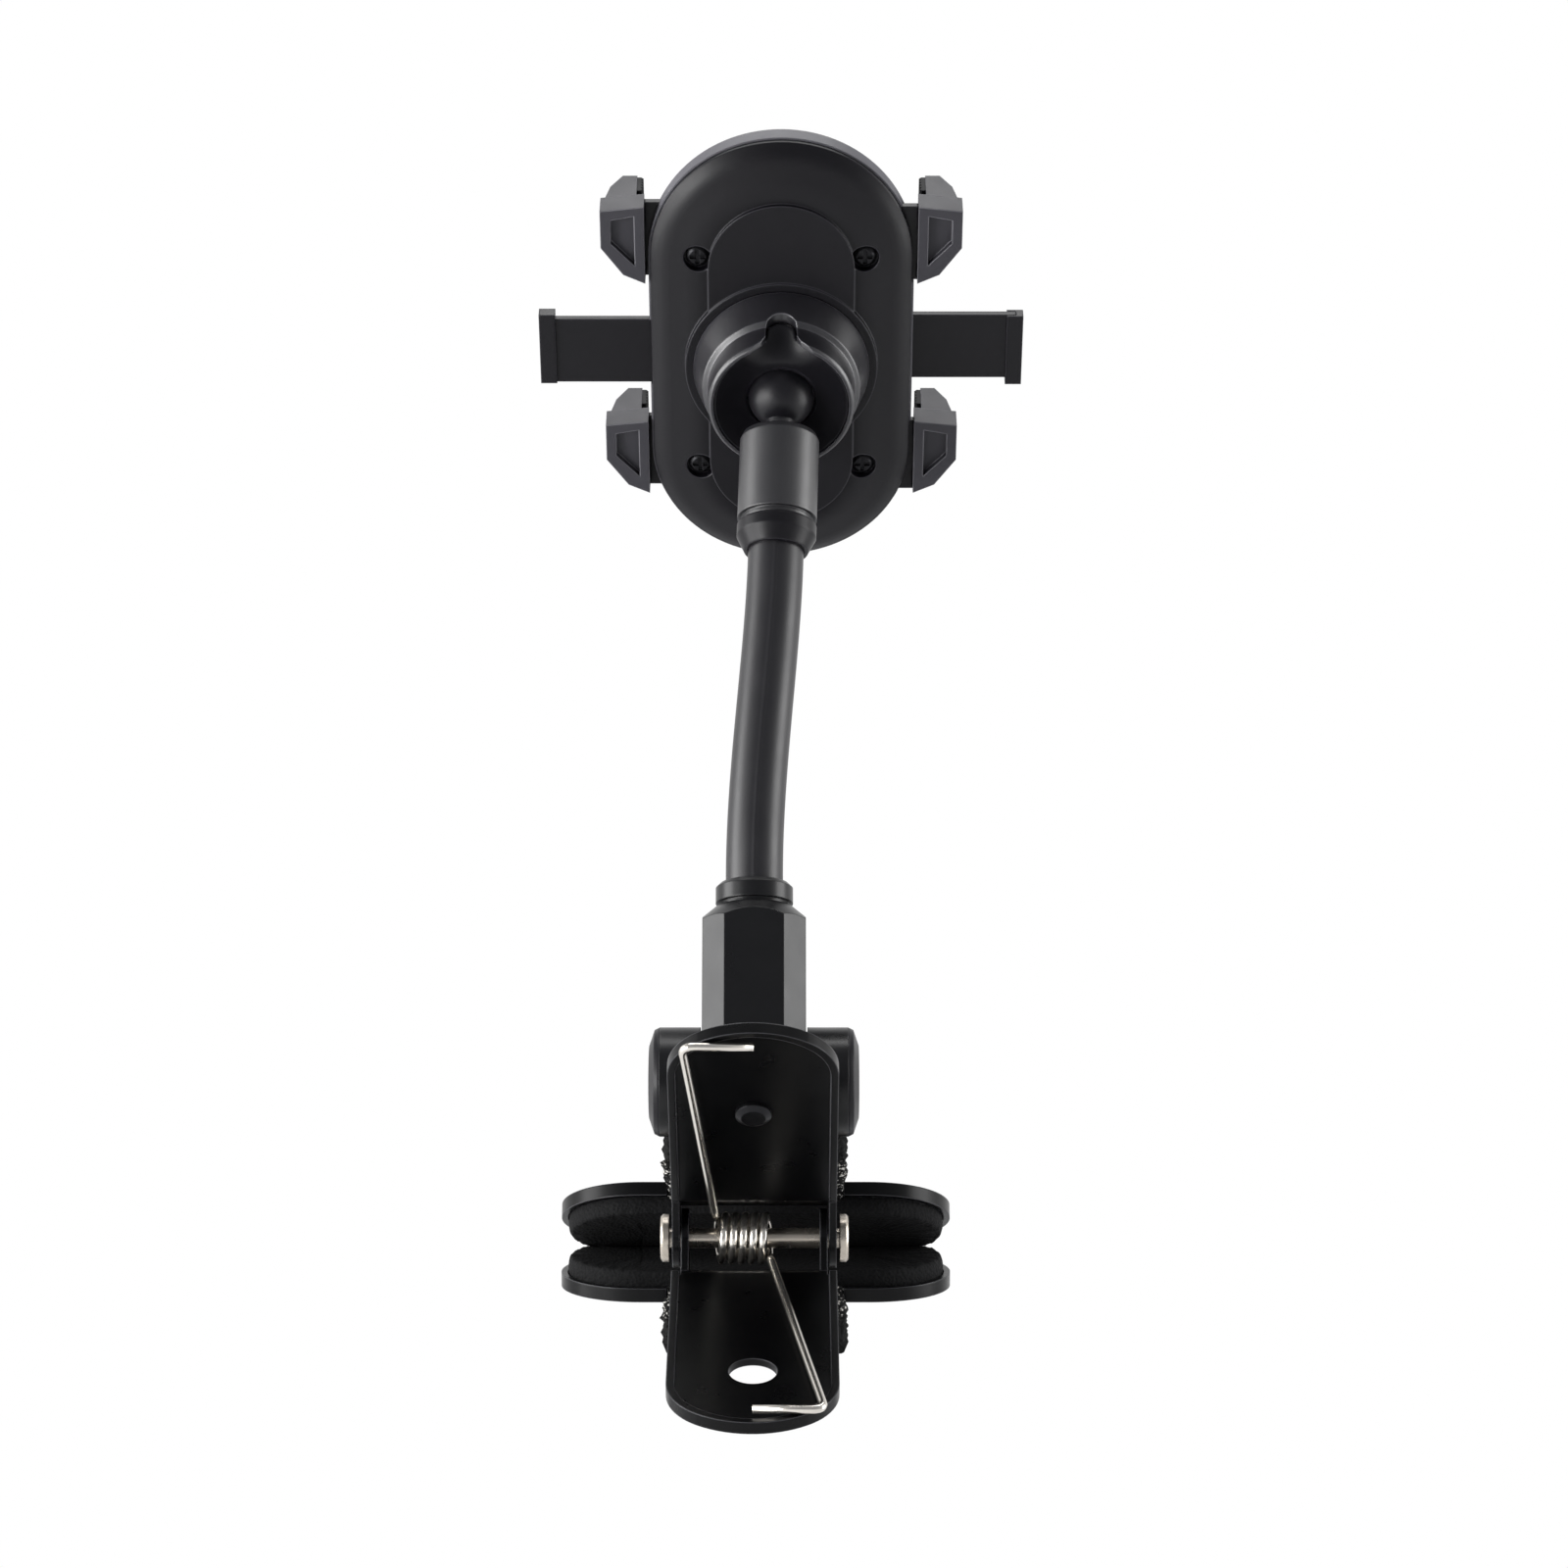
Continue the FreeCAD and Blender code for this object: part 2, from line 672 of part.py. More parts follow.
def foot_section():
    """The foot's side view: a slab on the handle, its far end sloped."""
    return [
        (f"{foot_shift} - foot_end", seat_drop),
        (f"{foot_shift} - foot_start", seat_drop),
        (f"{foot_shift} - foot_start", f"{seat_drop} + foot_height"),
        (f"{foot_shift} - foot_end + foot_height", f"{seat_drop} + foot_height"),
        (f"{foot_shift} - foot_end", f"{seat_drop} + foot_height / 2"),
    ]


def cheek_web():
    """The part of a cheek that stands on the foot."""
    return [
        ("foot_height / 4 - barrel_diameter / 2", "0"),
        ("foot_height / 4 - barrel_diameter / 2", seat_drop),
        ("barrel_diameter / 2 - foot_height", seat_drop),
        ("barrel_diameter / 2 - foot_height / 4", "0"),
    ]


foot_turn = FreeCAD.Rotation(X_AXIS, -handle_run, handle_out)
hinge_frame = FreeCAD.Placement(hinge, foot_turn)
node(hinge_base(), "hinge_base", hinge_frame)

cap_profile = [
    ("0", "cap_height"),
    ("barrel_diameter / 3", "cap_height"),
    ("barrel_diameter / 2 - cap_height / 4", "cap_height / 2"),
    ("barrel_diameter / 2", "0"),
    ("0", "0"),
]
caps = []
for hand in (1, -1):
    cap = turned("HingeCap", cap_profile)
    cap_place = size("socket_width") / 2 + size("cheek_clearance") + size("cheek_width")
    cap.Placement = FreeCAD.Placement(V(hand * cap_place, 0, 0), FreeCAD.Rotation(Y_AXIS, hand * 90))
    caps.append(cap)
pair = doc.addObject("Part::Compound", "HingeCaps")
pair.Links = caps
node(pair, "hinge_end_caps", FreeCAD.Placement(hinge, FreeCAD.Rotation()))

# Hinge bolt with a round head in one cheek, a six-sided nut in the other, and the screw that holds the foot
bolt_profile = [
    ("0", cheek_outer),
    ("bolt_head_diameter / 2", cheek_outer),
    ("bolt_head_diameter / 2", f"{cheek_outer} - bolt_head_height"),
    ("bolt_diameter / 2", f"{cheek_outer} - bolt_head_height"),
    ("bolt_diameter / 2", f"-{cheek_outer} + fit_clearance"),
    ("0", f"-{cheek_outer} + fit_clearance"),
]
hinge_axis = FreeCAD.Placement(hinge, across)
node(turned("HingeBolt", bolt_profile), "hinge_bolt", hinge_axis)

nut_body = doc.addObject("PartDesign::Body", "HingeNut")
nut_corner = "bolt_head_diameter / 2"
nut_corners = [(f"{nut_corner} * cos({60 * n})", f"{nut_corner} * sin({60 * n})") for n in range(6)]
pad(nut_body, outline(nut_body, "XY_Plane", nut_corners, f"-{cheek_outer}"), "bolt_head_height")
pocket(
    nut_body,
    circle(nut_body, "XY_Plane", "bolt_diameter + 2 * fit_clearance", offset=f"-{cheek_outer}"),
    "bolt_head_height",
    back=True,
)
node(nut_body, "hinge_nut", hinge_axis)

screw_profile = [
    ("0", "-foot_screw_head_height - sheet_gauge"),
    ("foot_screw_head_diameter / 3", "-foot_screw_head_height - sheet_gauge"),
    ("foot_screw_head_diameter / 2", "-foot_screw_head_height / 2 - sheet_gauge"),
    ("foot_screw_head_diameter / 2", "-sheet_gauge"),
    ("foot_screw_diameter / 2", "-sheet_gauge"),
    ("foot_screw_diameter / 2", "foot_height - pin_head_height / 2"),
    ("0", "foot_height - pin_head_height / 2"),
]
screw_seat = handle_bend + handle_run * size("foot_screw_place") + handle_out * (gauge / 2)
screw_frame = FreeCAD.Placement(pivot + screw_seat, foot_turn)
node(turned("HingeScrew", screw_profile), "hinge_base_screw", screw_frame)

# Neck socket: a turning knuckle and an eight-sided post, bored for the neck
half_socket = "(socket_width / 2)"
cut_socket = "(socket_width / 2 - socket_corner)"
eight = [
    (half_socket, f"-{cut_socket}"),
    (half_socket, cut_socket),
    (cut_socket, half_socket),
    (f"-{cut_socket}", half_socket),
    (f"-{half_socket}", cut_socket),
    (f"-{half_socket}", f"-{cut_socket}"),
    (f"-{cut_socket}", f"-{half_socket}"),
    (cut_socket, f"-{half_socket}"),
]
socket = doc.addObject("PartDesign::Body", "NeckSocket")
pad(socket, circle(socket, "YZ_Plane", "barrel_diameter"), "socket_width", both=True)
pad(socket, outline(socket, "XY_Plane", eight), "socket_length")
taper = [
    ("collar_diameter / 2", "socket_length"),
    ("collar_diameter", "socket_length"),
    ("collar_diameter", "socket_length - 2 * socket_taper"),
]
turn(socket, outline(socket, "XZ_Plane", taper), "PartDesign::Groove")
tube_bore = "(tube_diameter + 2 * fit_clearance)"
pocket(socket, circle(socket, "XY_Plane", tube_bore, offset="socket_length"), "tube_depth")
bolt_bore = circle(socket, "YZ_Plane", "bolt_diameter + 4 * fit_clearance")
pocket(socket, bolt_bore, "2 * socket_width", both=True)
node(socket, "neck_socket", neck_frame)

collar_profile = [
    (f"{tube_bore} / 2", "socket_length"),
    ("collar_diameter / 2 - collar_gap", "socket_length"),
    ("collar_diameter / 2 - collar_gap", "socket_length + collar_gap"),
    ("collar_diameter / 2", "socket_length + collar_gap"),
    ("collar_diameter / 2", "socket_length + collar_gap + collar_height - collar_gap"),
    ("collar_diameter / 2 - collar_gap", "socket_length + collar_gap + collar_height"),
    (f"{tube_bore} / 2", "socket_length + collar_gap + collar_height"),
]
node(turned("LowerCollar", collar_profile), "neck_lower_collar", neck_frame)


def two_arcs(start, start_run, end, end_run):
    """Two round arcs from one point to another in the given directions, tangent where they meet."""
    gap = end - start
    both = start_run + end_run
    square = both.dot(both) - 4
    lean = gap.dot(both)
    reach = (lean - math.sqrt(lean * lean - square * gap.dot(gap))) / square
    first = start + start_run * reach
    second = end - end_run * reach
    meet = (first + second) * 0.5
    return [one_arc(start, first, meet), one_arc(meet, second, end)]


def one_arc(start, corner, end):
    """A round arc between two points whose tangents cross at a corner."""
    middle = (start + end) * 0.5
    swing = (corner - start).getAngle(end - corner)
    top = middle + (corner - middle) * (math.tan(swing / 4) / math.tan(swing / 2))
    return Part.Arc(start, top, end).toShape()


sleeve_foot = size("socket_length") - size("tube_depth") + size("core_clearance")
collar_top = size("socket_length") + size("collar_gap") + size("collar_height")
spigot_end = size("sleeve_end") + size("groove_width") + size("spigot_length")
ferrule_end = size("sleeve_end") + size("groove_width") + size("slot_clearance") + size("ferrule_length")
tube_end = spigot_end + 2 * size("core_clearance")
straight = size("tube_diameter") / 6
low_run = neck_frame.Rotation.multVec(Z_AXIS)
high_run = stem_frame.Rotation.multVec(-Z_AXIS)
neck_points = [
    neck_frame.multVec(V(0, 0, sleeve_foot)),
    neck_frame.multVec(V(0, 0, collar_top + straight)),
    stem_frame.multVec(V(0, 0, ferrule_end + straight)),
    stem_frame.multVec(V(0, 0, tube_end)),
]
neck_path = Part.Wire(
    [Part.LineSegment(neck_points[0], neck_points[1]).toShape()]
    + two_arcs(neck_points[1], low_run, neck_points[2], high_run)
    + [Part.LineSegment(neck_points[2], neck_points[3]).toShape()]
)


def swept(diameter):
    """A round bar along the neck, compared with its section times its length."""
    section = Part.Wire(Part.Circle(neck_points[0], low_run, diameter / 2).toShape())
    bar = neck_path.makePipeShell([section], True, False)
    expected = math.pi * diameter ** 2 / 4 * neck_path.Length
    if abs(bar.Volume / expected - 1) > 0.01:
        raise RuntimeError("the neck's sweep lost its section")
    return bar


skin_bore = size("core_diameter") + 2 * size("core_clearance")
solid(swept(size("tube_diameter")).cut(swept(skin_bore)), "neck_sleeve")
solid(swept(size("core_diameter")), "neck_core")

# Upper collar and ball stem, drawn downwards from the ball
groove_end = "(sleeve_end + groove_width)"
ferrule_start = f"({groove_end} + slot_clearance)"
spigot_bore = "(spigot_diameter / 2 + fit_clearance)"
ferrule_seat = f"({groove_end} + spigot_length + core_clearance)"
ferrule_profile = [
    (spigot_bore, ferrule_start),
    ("sleeve_diameter / 2 - collar_gap / 3", ferrule_start),
    ("sleeve_diameter / 2", f"{ferrule_start} + collar_gap / 3"),
    ("sleeve_diameter / 2", f"{ferrule_start} + ferrule_straight"),
    ("ferrule_end_diameter / 2", f"{ferrule_start} + ferrule_length"),
    (f"{tube_bore} / 2", f"{ferrule_start} + ferrule_length"),
    (f"{tube_bore} / 2", ferrule_seat),
    (spigot_bore, ferrule_seat),
]
node(turned("UpperCollar", ferrule_profile), "neck_upper_collar", stem_frame)

stem_profile = [
    ("0", "0"),
    ("stem_diameter / 2", "0"),
    ("stem_diameter / 2", "sleeve_start"),
    ("sleeve_diameter / 2 - sleeve_round", "sleeve_start"),
    ("sleeve_diameter / 2 - sleeve_round * 0.3", "sleeve_start + sleeve_round * 0.3"),
    ("sleeve_diameter / 2", "sleeve_start + sleeve_round"),
    ("sleeve_diameter / 2", "sleeve_end"),
    ("sleeve_diameter / 2 - groove_depth", "sleeve_end"),
    ("sleeve_diameter / 2 - groove_depth", groove_end),
    ("spigot_diameter / 2", groove_end),
    ("spigot_diameter / 2", f"{groove_end} + spigot_length"),
    ("0", f"{groove_end} + spigot_length"),
]
stem_body = turned("StemTurned", stem_profile)
ball_head = doc.addObject("Part::Sphere", "BallHead")
ball_head.setExpression("Radius", bound("ball_diameter / 2"))
stem = doc.addObject("Part::MultiFuse", "BallStem")
stem.Shapes = [stem_body, ball_head]
node(stem, "ball_stem", stem_frame)

# Back cover: a crowned racetrack with a raised panel, screw wells, a threaded ring and a slit ball cup
cover_radius = "(cradle_width / 2 - cover_inset)"
half_run = "(cradle_run / 2)"
crown_step = "(crown_height - cover_rim) / 2"
cover = doc.addObject("PartDesign::Body", "BackCover")
pad(cover, racetrack(cover, cover_radius, half_run), "cover_rim")
pad(cover, racetrack(cover, cover_radius, half_run, "cover_rim"), crown_step, taper="-crown_edge_slope")
inset = f"{crown_step} * tan(crown_edge_slope)"
crown = racetrack(cover, f"{cover_radius} - {inset}", half_run, f"cover_rim + {crown_step}")
pad(cover, crown, crown_step, taper="-crown_slope")
crown_top = size("crown_height")
crown_middle = (crown_top + size("cover_rim")) / 2
for level, radius in ((crown_middle, "crown_edge_round"), (crown_top, "crown_round")):
    round_edges(cover, radius, lambda edge: level_edge(edge, level))
panel_top = "(crown_height + panel_height)"
panel = racetrack(cover, "panel_width / 2", half_run, "cover_rim")
pad(cover, panel, f"{panel_top} - cover_rim")
seat_top = f"({panel_top} + panel_height / 2)"
pad(cover, circle(cover, "XY_Plane", "seat_ring_diameter", offset="cover_rim"), f"{seat_top} - cover_rim")
cavity = racetrack(cover, f"{cover_radius} - 2 * shell_wall", half_run)
pocket(cover, cavity, "cavity_height", back=True)
ring = circle(cover, "XY_Plane", "thread_diameter", offset="crown_height")
pad(cover, ring, f"{seat_top} - crown_height + thread_height")
well = circle(cover, "XY_Plane", "thread_diameter - 2 * thread_wall", offset=f"{seat_top} + thread_height")
pocket(cover, well, "thread_height")
cup_top = "(ball_height + cup_rise)"
cup = circle(cover, "XY_Plane", "cup_diameter", offset="crown_height")
pad(cover, cup, f"{cup_top} - crown_height")
seat = cover.newObject("PartDesign::SubtractiveSphere", "BallSeat")
seat.AttachmentSupport = [(origin_plane(cover, "XY_Plane"), "")]
seat.MapMode = "FlatFace"
seat.setExpression("AttachmentOffset.Base.z", bound("ball_height"))
seat.setExpression("Radius", bound("ball_diameter / 2 + ball_clearance"))
half_slit = "cup_slit / 2"
half_cup = "cup_diameter / 2"
slit_depth = f"{cup_top} - {seat_top} - thread_height"
for slit in (
    box(f"-{half_slit}", half_slit, f"-{half_cup}", half_cup),
    box(f"-{half_cup}", half_cup, f"-{half_slit}", half_slit),
):
    pocket(cover, outline(cover, "XY_Plane", slit, cup_top), slit_depth)
for side in ("", "-"):
    for end in ("", "-"):
        spot = {"across": f"{side}screw_across / 2", "up": f"{end}screw_along / 2"}
        counterbore = circle(cover, "XY_Plane", "counterbore_diameter", offset="crown_height", **spot)
        pocket(cover, counterbore, "crown_height - cavity_height - cover_rim")
        shank_hole = circle(cover, "XY_Plane", "screw_diameter + 2 * fit_clearance", **spot)
        pocket(cover, shank_hole, "crown_height", back=True)
for end in ("", "-"):
    post = circle(
        cover, "XY_Plane", "post_diameter", "-return_post", f"{end}return_offset", "cavity_height"
    )
    pad(cover, post, "cavity_height", back=True)
node(cover, "back_cover", cradle_frame)

# Lock nut: a stepped cap screwed down over the ball cup, with a flared slot for the stem
nut_low = f"({seat_top} + nut_clearance)"
nut_top = f"({nut_low} + nut_height)"
lip_low = f"({seat_top} + thread_height + 2 * nut_clearance)"
nut_inside = "(nut_mouth_diameter / 2 - nut_wall)"
nut_profile = [
    ("nut_base_diameter / 2", nut_low),
    ("nut_base_diameter / 2 - nut_bevel / 2", f"{nut_low} + 2 * nut_bevel"),
    ("nut_waist_diameter / 2", f"{nut_low} + nut_step_height"),
    ("nut_mouth_diameter / 2", f"{nut_low} + nut_step_height + nut_bevel"),
    ("nut_mouth_diameter / 2 - nut_bevel / 3", f"{nut_top} - nut_bevel"),
    ("nut_mouth_diameter / 2 - nut_bevel", nut_top),
    (nut_inside, nut_top),
    (f"{nut_inside} - nut_bevel / 2", f"{lip_low} + 3 * nut_lip_height"),
    (f"{nut_inside} - 3 * nut_bevel", f"{lip_low} + 1.6 * nut_lip_height"),
    ("nut_lip_diameter / 2", f"{lip_low} + nut_lip_height"),
    ("nut_lip_diameter / 2", lip_low),
    ("thread_diameter / 2 + nut_clearance", lip_low),
    ("thread_diameter / 2 + nut_clearance", nut_low),
]
lock_nut = turned("LockNut", nut_profile)
half_slot = "nut_slot_width / 2"
slot_foot = f"({nut_top} - nut_slot_depth + {half_slot})"
flare_foot = f"({nut_top} - nut_slot_flare)"
side_of_slot = [
    (half_slot, slot_foot),
    (half_slot, flare_foot),
    (f"{half_slot} + nut_slot_flare / 4", f"{flare_foot} + nut_slot_flare / 2"),
    (f"{half_slot} + nut_slot_flare", nut_top),
]
slot = side_of_slot + [(f"-({across})", up) for across, up in reversed(side_of_slot)]
pocket(lock_nut, outline(lock_nut, "XZ_Plane", slot), "nut_base_diameter")
pocket(lock_nut, circle(lock_nut, "XZ_Plane", "nut_slot_width", up=slot_foot), "nut_base_diameter")
node(lock_nut, "lock_nut", cradle_frame)

# Front shell: a shallow tray with slots for the sliders, screw posts and the pinion's axle
tray_floor = "(shell_depth - shell_floor)"
shell = doc.addObject("PartDesign::Body", "FrontShell")
pad(shell, racetrack(shell, "cradle_width / 2", half_run, "-shell_depth"), "shell_depth")
lowest = -size("shell_depth") + size("fit_clearance")
round_edges(shell, "shell_round", lambda edge: edge.BoundBox.ZMax < lowest)
pocket(shell, racetrack(shell, "cradle_width / 2 - shell_wall", half_run), tray_floor)
front_level = "(plate_top + plate_gauge + slot_clearance)"
back_level = "(plate_gauge + 2 * slot_clearance)"
tab_half = "(tab_width / 2 + slot_clearance)"
arm_low = "(rail_low - slot_clearance)"
arm_high = "(rail_low + arm_height + slot_clearance)"
for hand, level, depth in (("-", "0", front_level), ("", "-(plate_top + plate_gauge)", back_level)):
    gate = box(f"{hand}tab_start", f"{hand}cradle_width", f"-{tab_half}", tab_half)
    pocket(shell, outline(shell, "XY_Plane", gate, level), depth)
for hand, level, depth in (("", "0", front_level), ("-", "-(plate_top + plate_gauge)", back_level)):
    for end in ("", "-"):
        gate = box(f"{hand}arm_start", f"{hand}cradle_width", f"{end}{arm_low}", f"{end}{arm_high}")
        pocket(shell, outline(shell, "XY_Plane", gate, level), depth)
axle = circle(shell, "XY_Plane", "axle_diameter", offset=f"-{tray_floor}")
pad(shell, axle, tray_floor)
for side in ("", "-"):
    for end in ("", "-"):
        spot = {"across": f"{side}screw_across / 2", "up": f"{end}screw_along / 2"}
        boss = circle(shell, "XY_Plane", "boss_diameter", offset=f"-{tray_floor}", **spot)
        pad(shell, boss, f"{tray_floor} + cavity_height")
        bore = "screw_diameter + 2 * fit_clearance"
        thread = circle(shell, "XY_Plane", bore, offset="cavity_height", **spot)
        pocket(shell, thread, f"{tray_floor} + cavity_height - fit_clearance")
node(shell, "front_shell", cradle_frame)

# Cover screws: round heads with a cross recess
screw_seat_height = "(cavity_height + cover_rim)"
cover_screw_profile = [
    ("0", f"{screw_seat_height} + screw_head_height"),
    ("screw_head_diameter / 3", f"{screw_seat_height} + screw_head_height"),
    ("screw_head_diameter / 2", f"{screw_seat_height} + screw_head_height / 2"),
    ("screw_head_diameter / 2", screw_seat_height),
    ("screw_diameter / 2", screw_seat_height),
    ("screw_diameter / 2", f"-{tray_floor} + screw_diameter"),
    ("0", f"-{tray_floor} + screw_diameter"),
]
cross_long = "screw_head_diameter / 3"
cross_short = "screw_head_diameter / 12"
screws = []
for side in (1, -1):
    for end in (1, -1):
        screw = turned("CoverScrew", cover_screw_profile)
        for wide, tall in ((cross_long, cross_short), (cross_short, cross_long)):
            cross = box(f"-{wide}", wide, f"-{tall}", tall)
            top = f"{screw_seat_height} + screw_head_height"
            pocket(screw, outline(screw, "XY_Plane", cross, top), "screw_head_height / 2")
        screw.Placement.Base = V(side * size("screw_across") / 2, end * size("screw_along") / 2, 0)
        screws.append(screw)
screw_set = doc.addObject("Part::Compound", "CoverScrews")
screw_set.Links = screws
node(screw_set, "cover_screws", cradle_frame)


def pinion_face():
    """The pinion's outline: involute flanks on a base circle, a tooth at the top."""
    teeth = int(size("gear_teeth"))
    pitch_radius = size("gear_module") * teeth / 2
    angle = math.radians(size("gear_angle"))
    base = pitch_radius * math.cos(angle)
    tip = pitch_radius + size("gear_addendum")
    root = pitch_radius - size("gear_dedendum")
    half_tooth = (math.pi * size("gear_module") / 2 - size("gear_backlash") / 2) / (2 * pitch_radius)

    def unroll(radius):
        swing = math.acos(base / radius)
        return half_tooth + (math.tan(angle) - angle) - (math.tan(swing) - swing)

    steps = 3
    radii = [base + (tip - base) * n / steps for n in range(steps + 1)]
    points = []
    for tooth in range(teeth):
        middle = math.pi / 2 - 2 * math.pi * tooth / teeth
        flank = [(root, unroll(base))] + [(radius, unroll(radius)) for radius in radii]
        for radius, spread in flank:
            points.append(V(radius * math.cos(middle + spread), radius * math.sin(middle + spread), 0))
        for radius, spread in reversed(flank):
            points.append(V(radius * math.cos(middle - spread), radius * math.sin(middle - spread), 0))
    return Part.Face(Part.makePolygon(points + points[:1]))


back_plate = size("plate_top")
pinion_low = -back_plate - 2 * size("plate_gauge") - size("plate_gap") - size("core_clearance") / 2
pinion_high = -back_plate + size("core_clearance") / 2
axle_bore = Part.makeCylinder(
    size("axle_diameter") / 2 + size("fit_clearance"), pinion_high - pinion_low, V(0, 0, pinion_low)
)
solid(raised(pinion_face(), pinion_low, pinion_high).cut(axle_bore), "pinion", cradle_frame)

# Sliders: a finger tab, a rack, a bridge, two rails and two arms in one flat plate
plate_low = "-(plate_top + plate_gauge)"
bridge_end = "(bridge_start + bridge_width)"
rack_root = "(gear_module * gear_teeth / 2 + gear_dedendum)"
rack_tip = "(gear_module * gear_teeth / 2 - gear_addendum)"
half_rack = "(pi * gear_module / 4 - gear_backlash / 4)"
rack_teeth = range(-6, 2)


def rack():
    """The rack's bar with its teeth towards the pinion, a gap facing the pinion's top tooth."""
    corners = [("-tab_start", "tab_width / 2"), ("-tab_start", rack_root)]
    for tooth in rack_teeth:
        middle = f"{tooth + 0.5} * pi * gear_module"
        foot = f"({half_rack} + gear_dedendum * tan(gear_angle))"
        crest = f"({half_rack} - gear_addendum * tan(gear_angle))"
        corners.append((f"{middle} - {foot}", rack_root))
        corners.append((f"{middle} - {crest}", rack_tip))
        corners.append((f"{middle} + {crest}", rack_tip))
        corners.append((f"{middle} + {foot}", rack_root))
    return corners + [(bridge_end, rack_root), (bridge_end, "tab_width / 2")]


def slider(name):
    """A slider whose tab points left and whose arms point right."""
    body = doc.addObject("PartDesign::Body", name)
    rail_high = "(rail_low + rail_width)"
    plates = [
        rack(),
        box("-tab_reach", "-tab_start", "-tab_width / 2", "tab_width / 2"),
        box("bridge_start", bridge_end, f"-{rail_high}", rail_high),
    ]
    for end in ("", "-"):
        plates.append(box(bridge_end, "arm_start", f"{end}rail_low", f"{end}{rail_high}"))
        plates.append(box("arm_start", "clamp_inner", f"{end}rail_low", f"{end}(rail_low + arm_height)"))
        tongue_high = f"{end}(tongue_low + tongue_height)"
        plates.append(box("clamp_inner", "tongue_end", f"{end}tongue_low", tongue_high))
    for corners in plates:
        pad(body, outline(body, "XY_Plane", corners, plate_low), "plate_gauge")
    return body


half_turn = FreeCAD.Rotation(Z_AXIS, 180)
level_drop = -size("plate_gauge") - size("plate_gap")
front_frame = cradle_frame.multiply(FreeCAD.Placement(V(0, 0, level_drop), half_turn))
slider_a = slider("SliderA")
spring_post = "bridge_start + post_diameter"
for end in ("", "-"):
    post = circle(slider_a, "XY_Plane", "post_diameter", spring_post, f"{end}return_offset", "-plate_top")
    pad(slider_a, post, "plate_top + cavity_height - slot_clearance")
node(slider_a, "slider_a", cradle_frame)
node(slider("SliderB"), "slider_b", front_frame)

# Return springs, close wound and drawn as plain sleeves, from the cover's posts to the first slider's
spring_start = -size("return_post") + size("post_diameter") / 2 + size("slot_clearance")
spring_end = size("bridge_start") + size("post_diameter") / 2 - size("slot_clearance")
spring_height = size("cavity_height") / 2 - size("pad_rib") / 2
coil_hole = size("return_diameter") - 2 * size("return_wire")
springs = []
for end in (1, -1):
    ends = [V(along, end * size("return_offset"), spring_height) for along in (spring_start, spring_end)]
    springs.append(rod(*ends, size("return_diameter")).cut(rod(*ends, coil_hole)))
solid(Part.makeCompound(springs), "return_springs", cradle_frame)

# Clamp blocks on the arms, each with a forward finger, and the ribbed pads inside the fingers
clamp_top = "(rail_low + arm_height + finger_step)"
clamp_shift = "(2 * rail_low + arm_height)"
finger_inner = "(pad_inner + pad_gauge)"


def clamp_block(name, hand, drop, level):
    """A block with a windowed back, a socket for an arm's tongue and a tapering finger."""
    top = f"({clamp_top} - {drop})"
    foot = f"({top} - clamp_height)"
    diagonal = [
        (f"{hand}clamp_outer", f"{top} - clamp_corner"),
        (f"{hand}(clamp_inner + clamp_outer) / 2", f"{foot} + (clamp_height - clamp_corner) / 4"),
        (f"{hand}clamp_inner", foot),
    ]
    body = doc.addObject("PartDesign::Body", name)
    plan = [(f"{hand}clamp_inner", top), (f"{hand}clamp_outer", f"{top} - finger_step")] + diagonal
    pad(body, outline(body, "XY_Plane", plan, "-clamp_front"), "clamp_front + clamp_back")
    window = [
        (f"{hand}(clamp_inner + clamp_border)", f"{top} - clamp_border"),
        (f"{hand}(clamp_outer - clamp_border)", f"{top} - finger_step - clamp_border"),
        (f"{hand}(clamp_outer - clamp_border)", f"{top} - clamp_corner + clamp_border / 2"),
        (f"{hand}(clamp_inner + clamp_border)", f"{foot} + 2 * clamp_border"),
    ]
    pocket(body, outline(body, "XY_Plane", window, "clamp_back"), "clamp_recess")
    sign = "-" if drop != "0" else ""
    tongue = box(
        f"{hand}(clamp_inner - clamp_border)",
        f"{hand}(tongue_end + fit_clearance)",
        f"{sign}(tongue_low - fit_clearance)",
        f"{sign}(tongue_low + tongue_height + fit_clearance)",
    )
    socket_cut = outline(body, "XY_Plane", tongue, f"{level} + fit_clearance")
    pocket(body, socket_cut, "plate_gauge + 2 * fit_clearance")
    middle = f"({top} - clamp_height / 2)"
    side_view = [
        (f"{hand}{finger_inner}", "-clamp_front"),
        (f"{hand}(clamp_outer - finger_step)", "-clamp_front"),
        (f"{hand}(clamp_outer - 2 * finger_step)", "-(clamp_front + finger_reach) / 2"),
        (f"{hand}({finger_inner} + finger_tip)", "-finger_reach"),
        (f"{hand}{finger_inner}", "-finger_reach"),
    ]
    finger = outline(body, "XZ_Plane", side_view, f"-{middle}")
    pad(body, finger, "clamp_height - 2 * finger_step", both=True)
    under = f"{foot} - clamp_height"
    below = diagonal + [(f"{hand}clamp_inner", under), (f"{hand}clamp_outer", under)]
    pocket(body, outline(body, "XY_Plane", below, "-clamp_front"), "finger_reach")
    return body


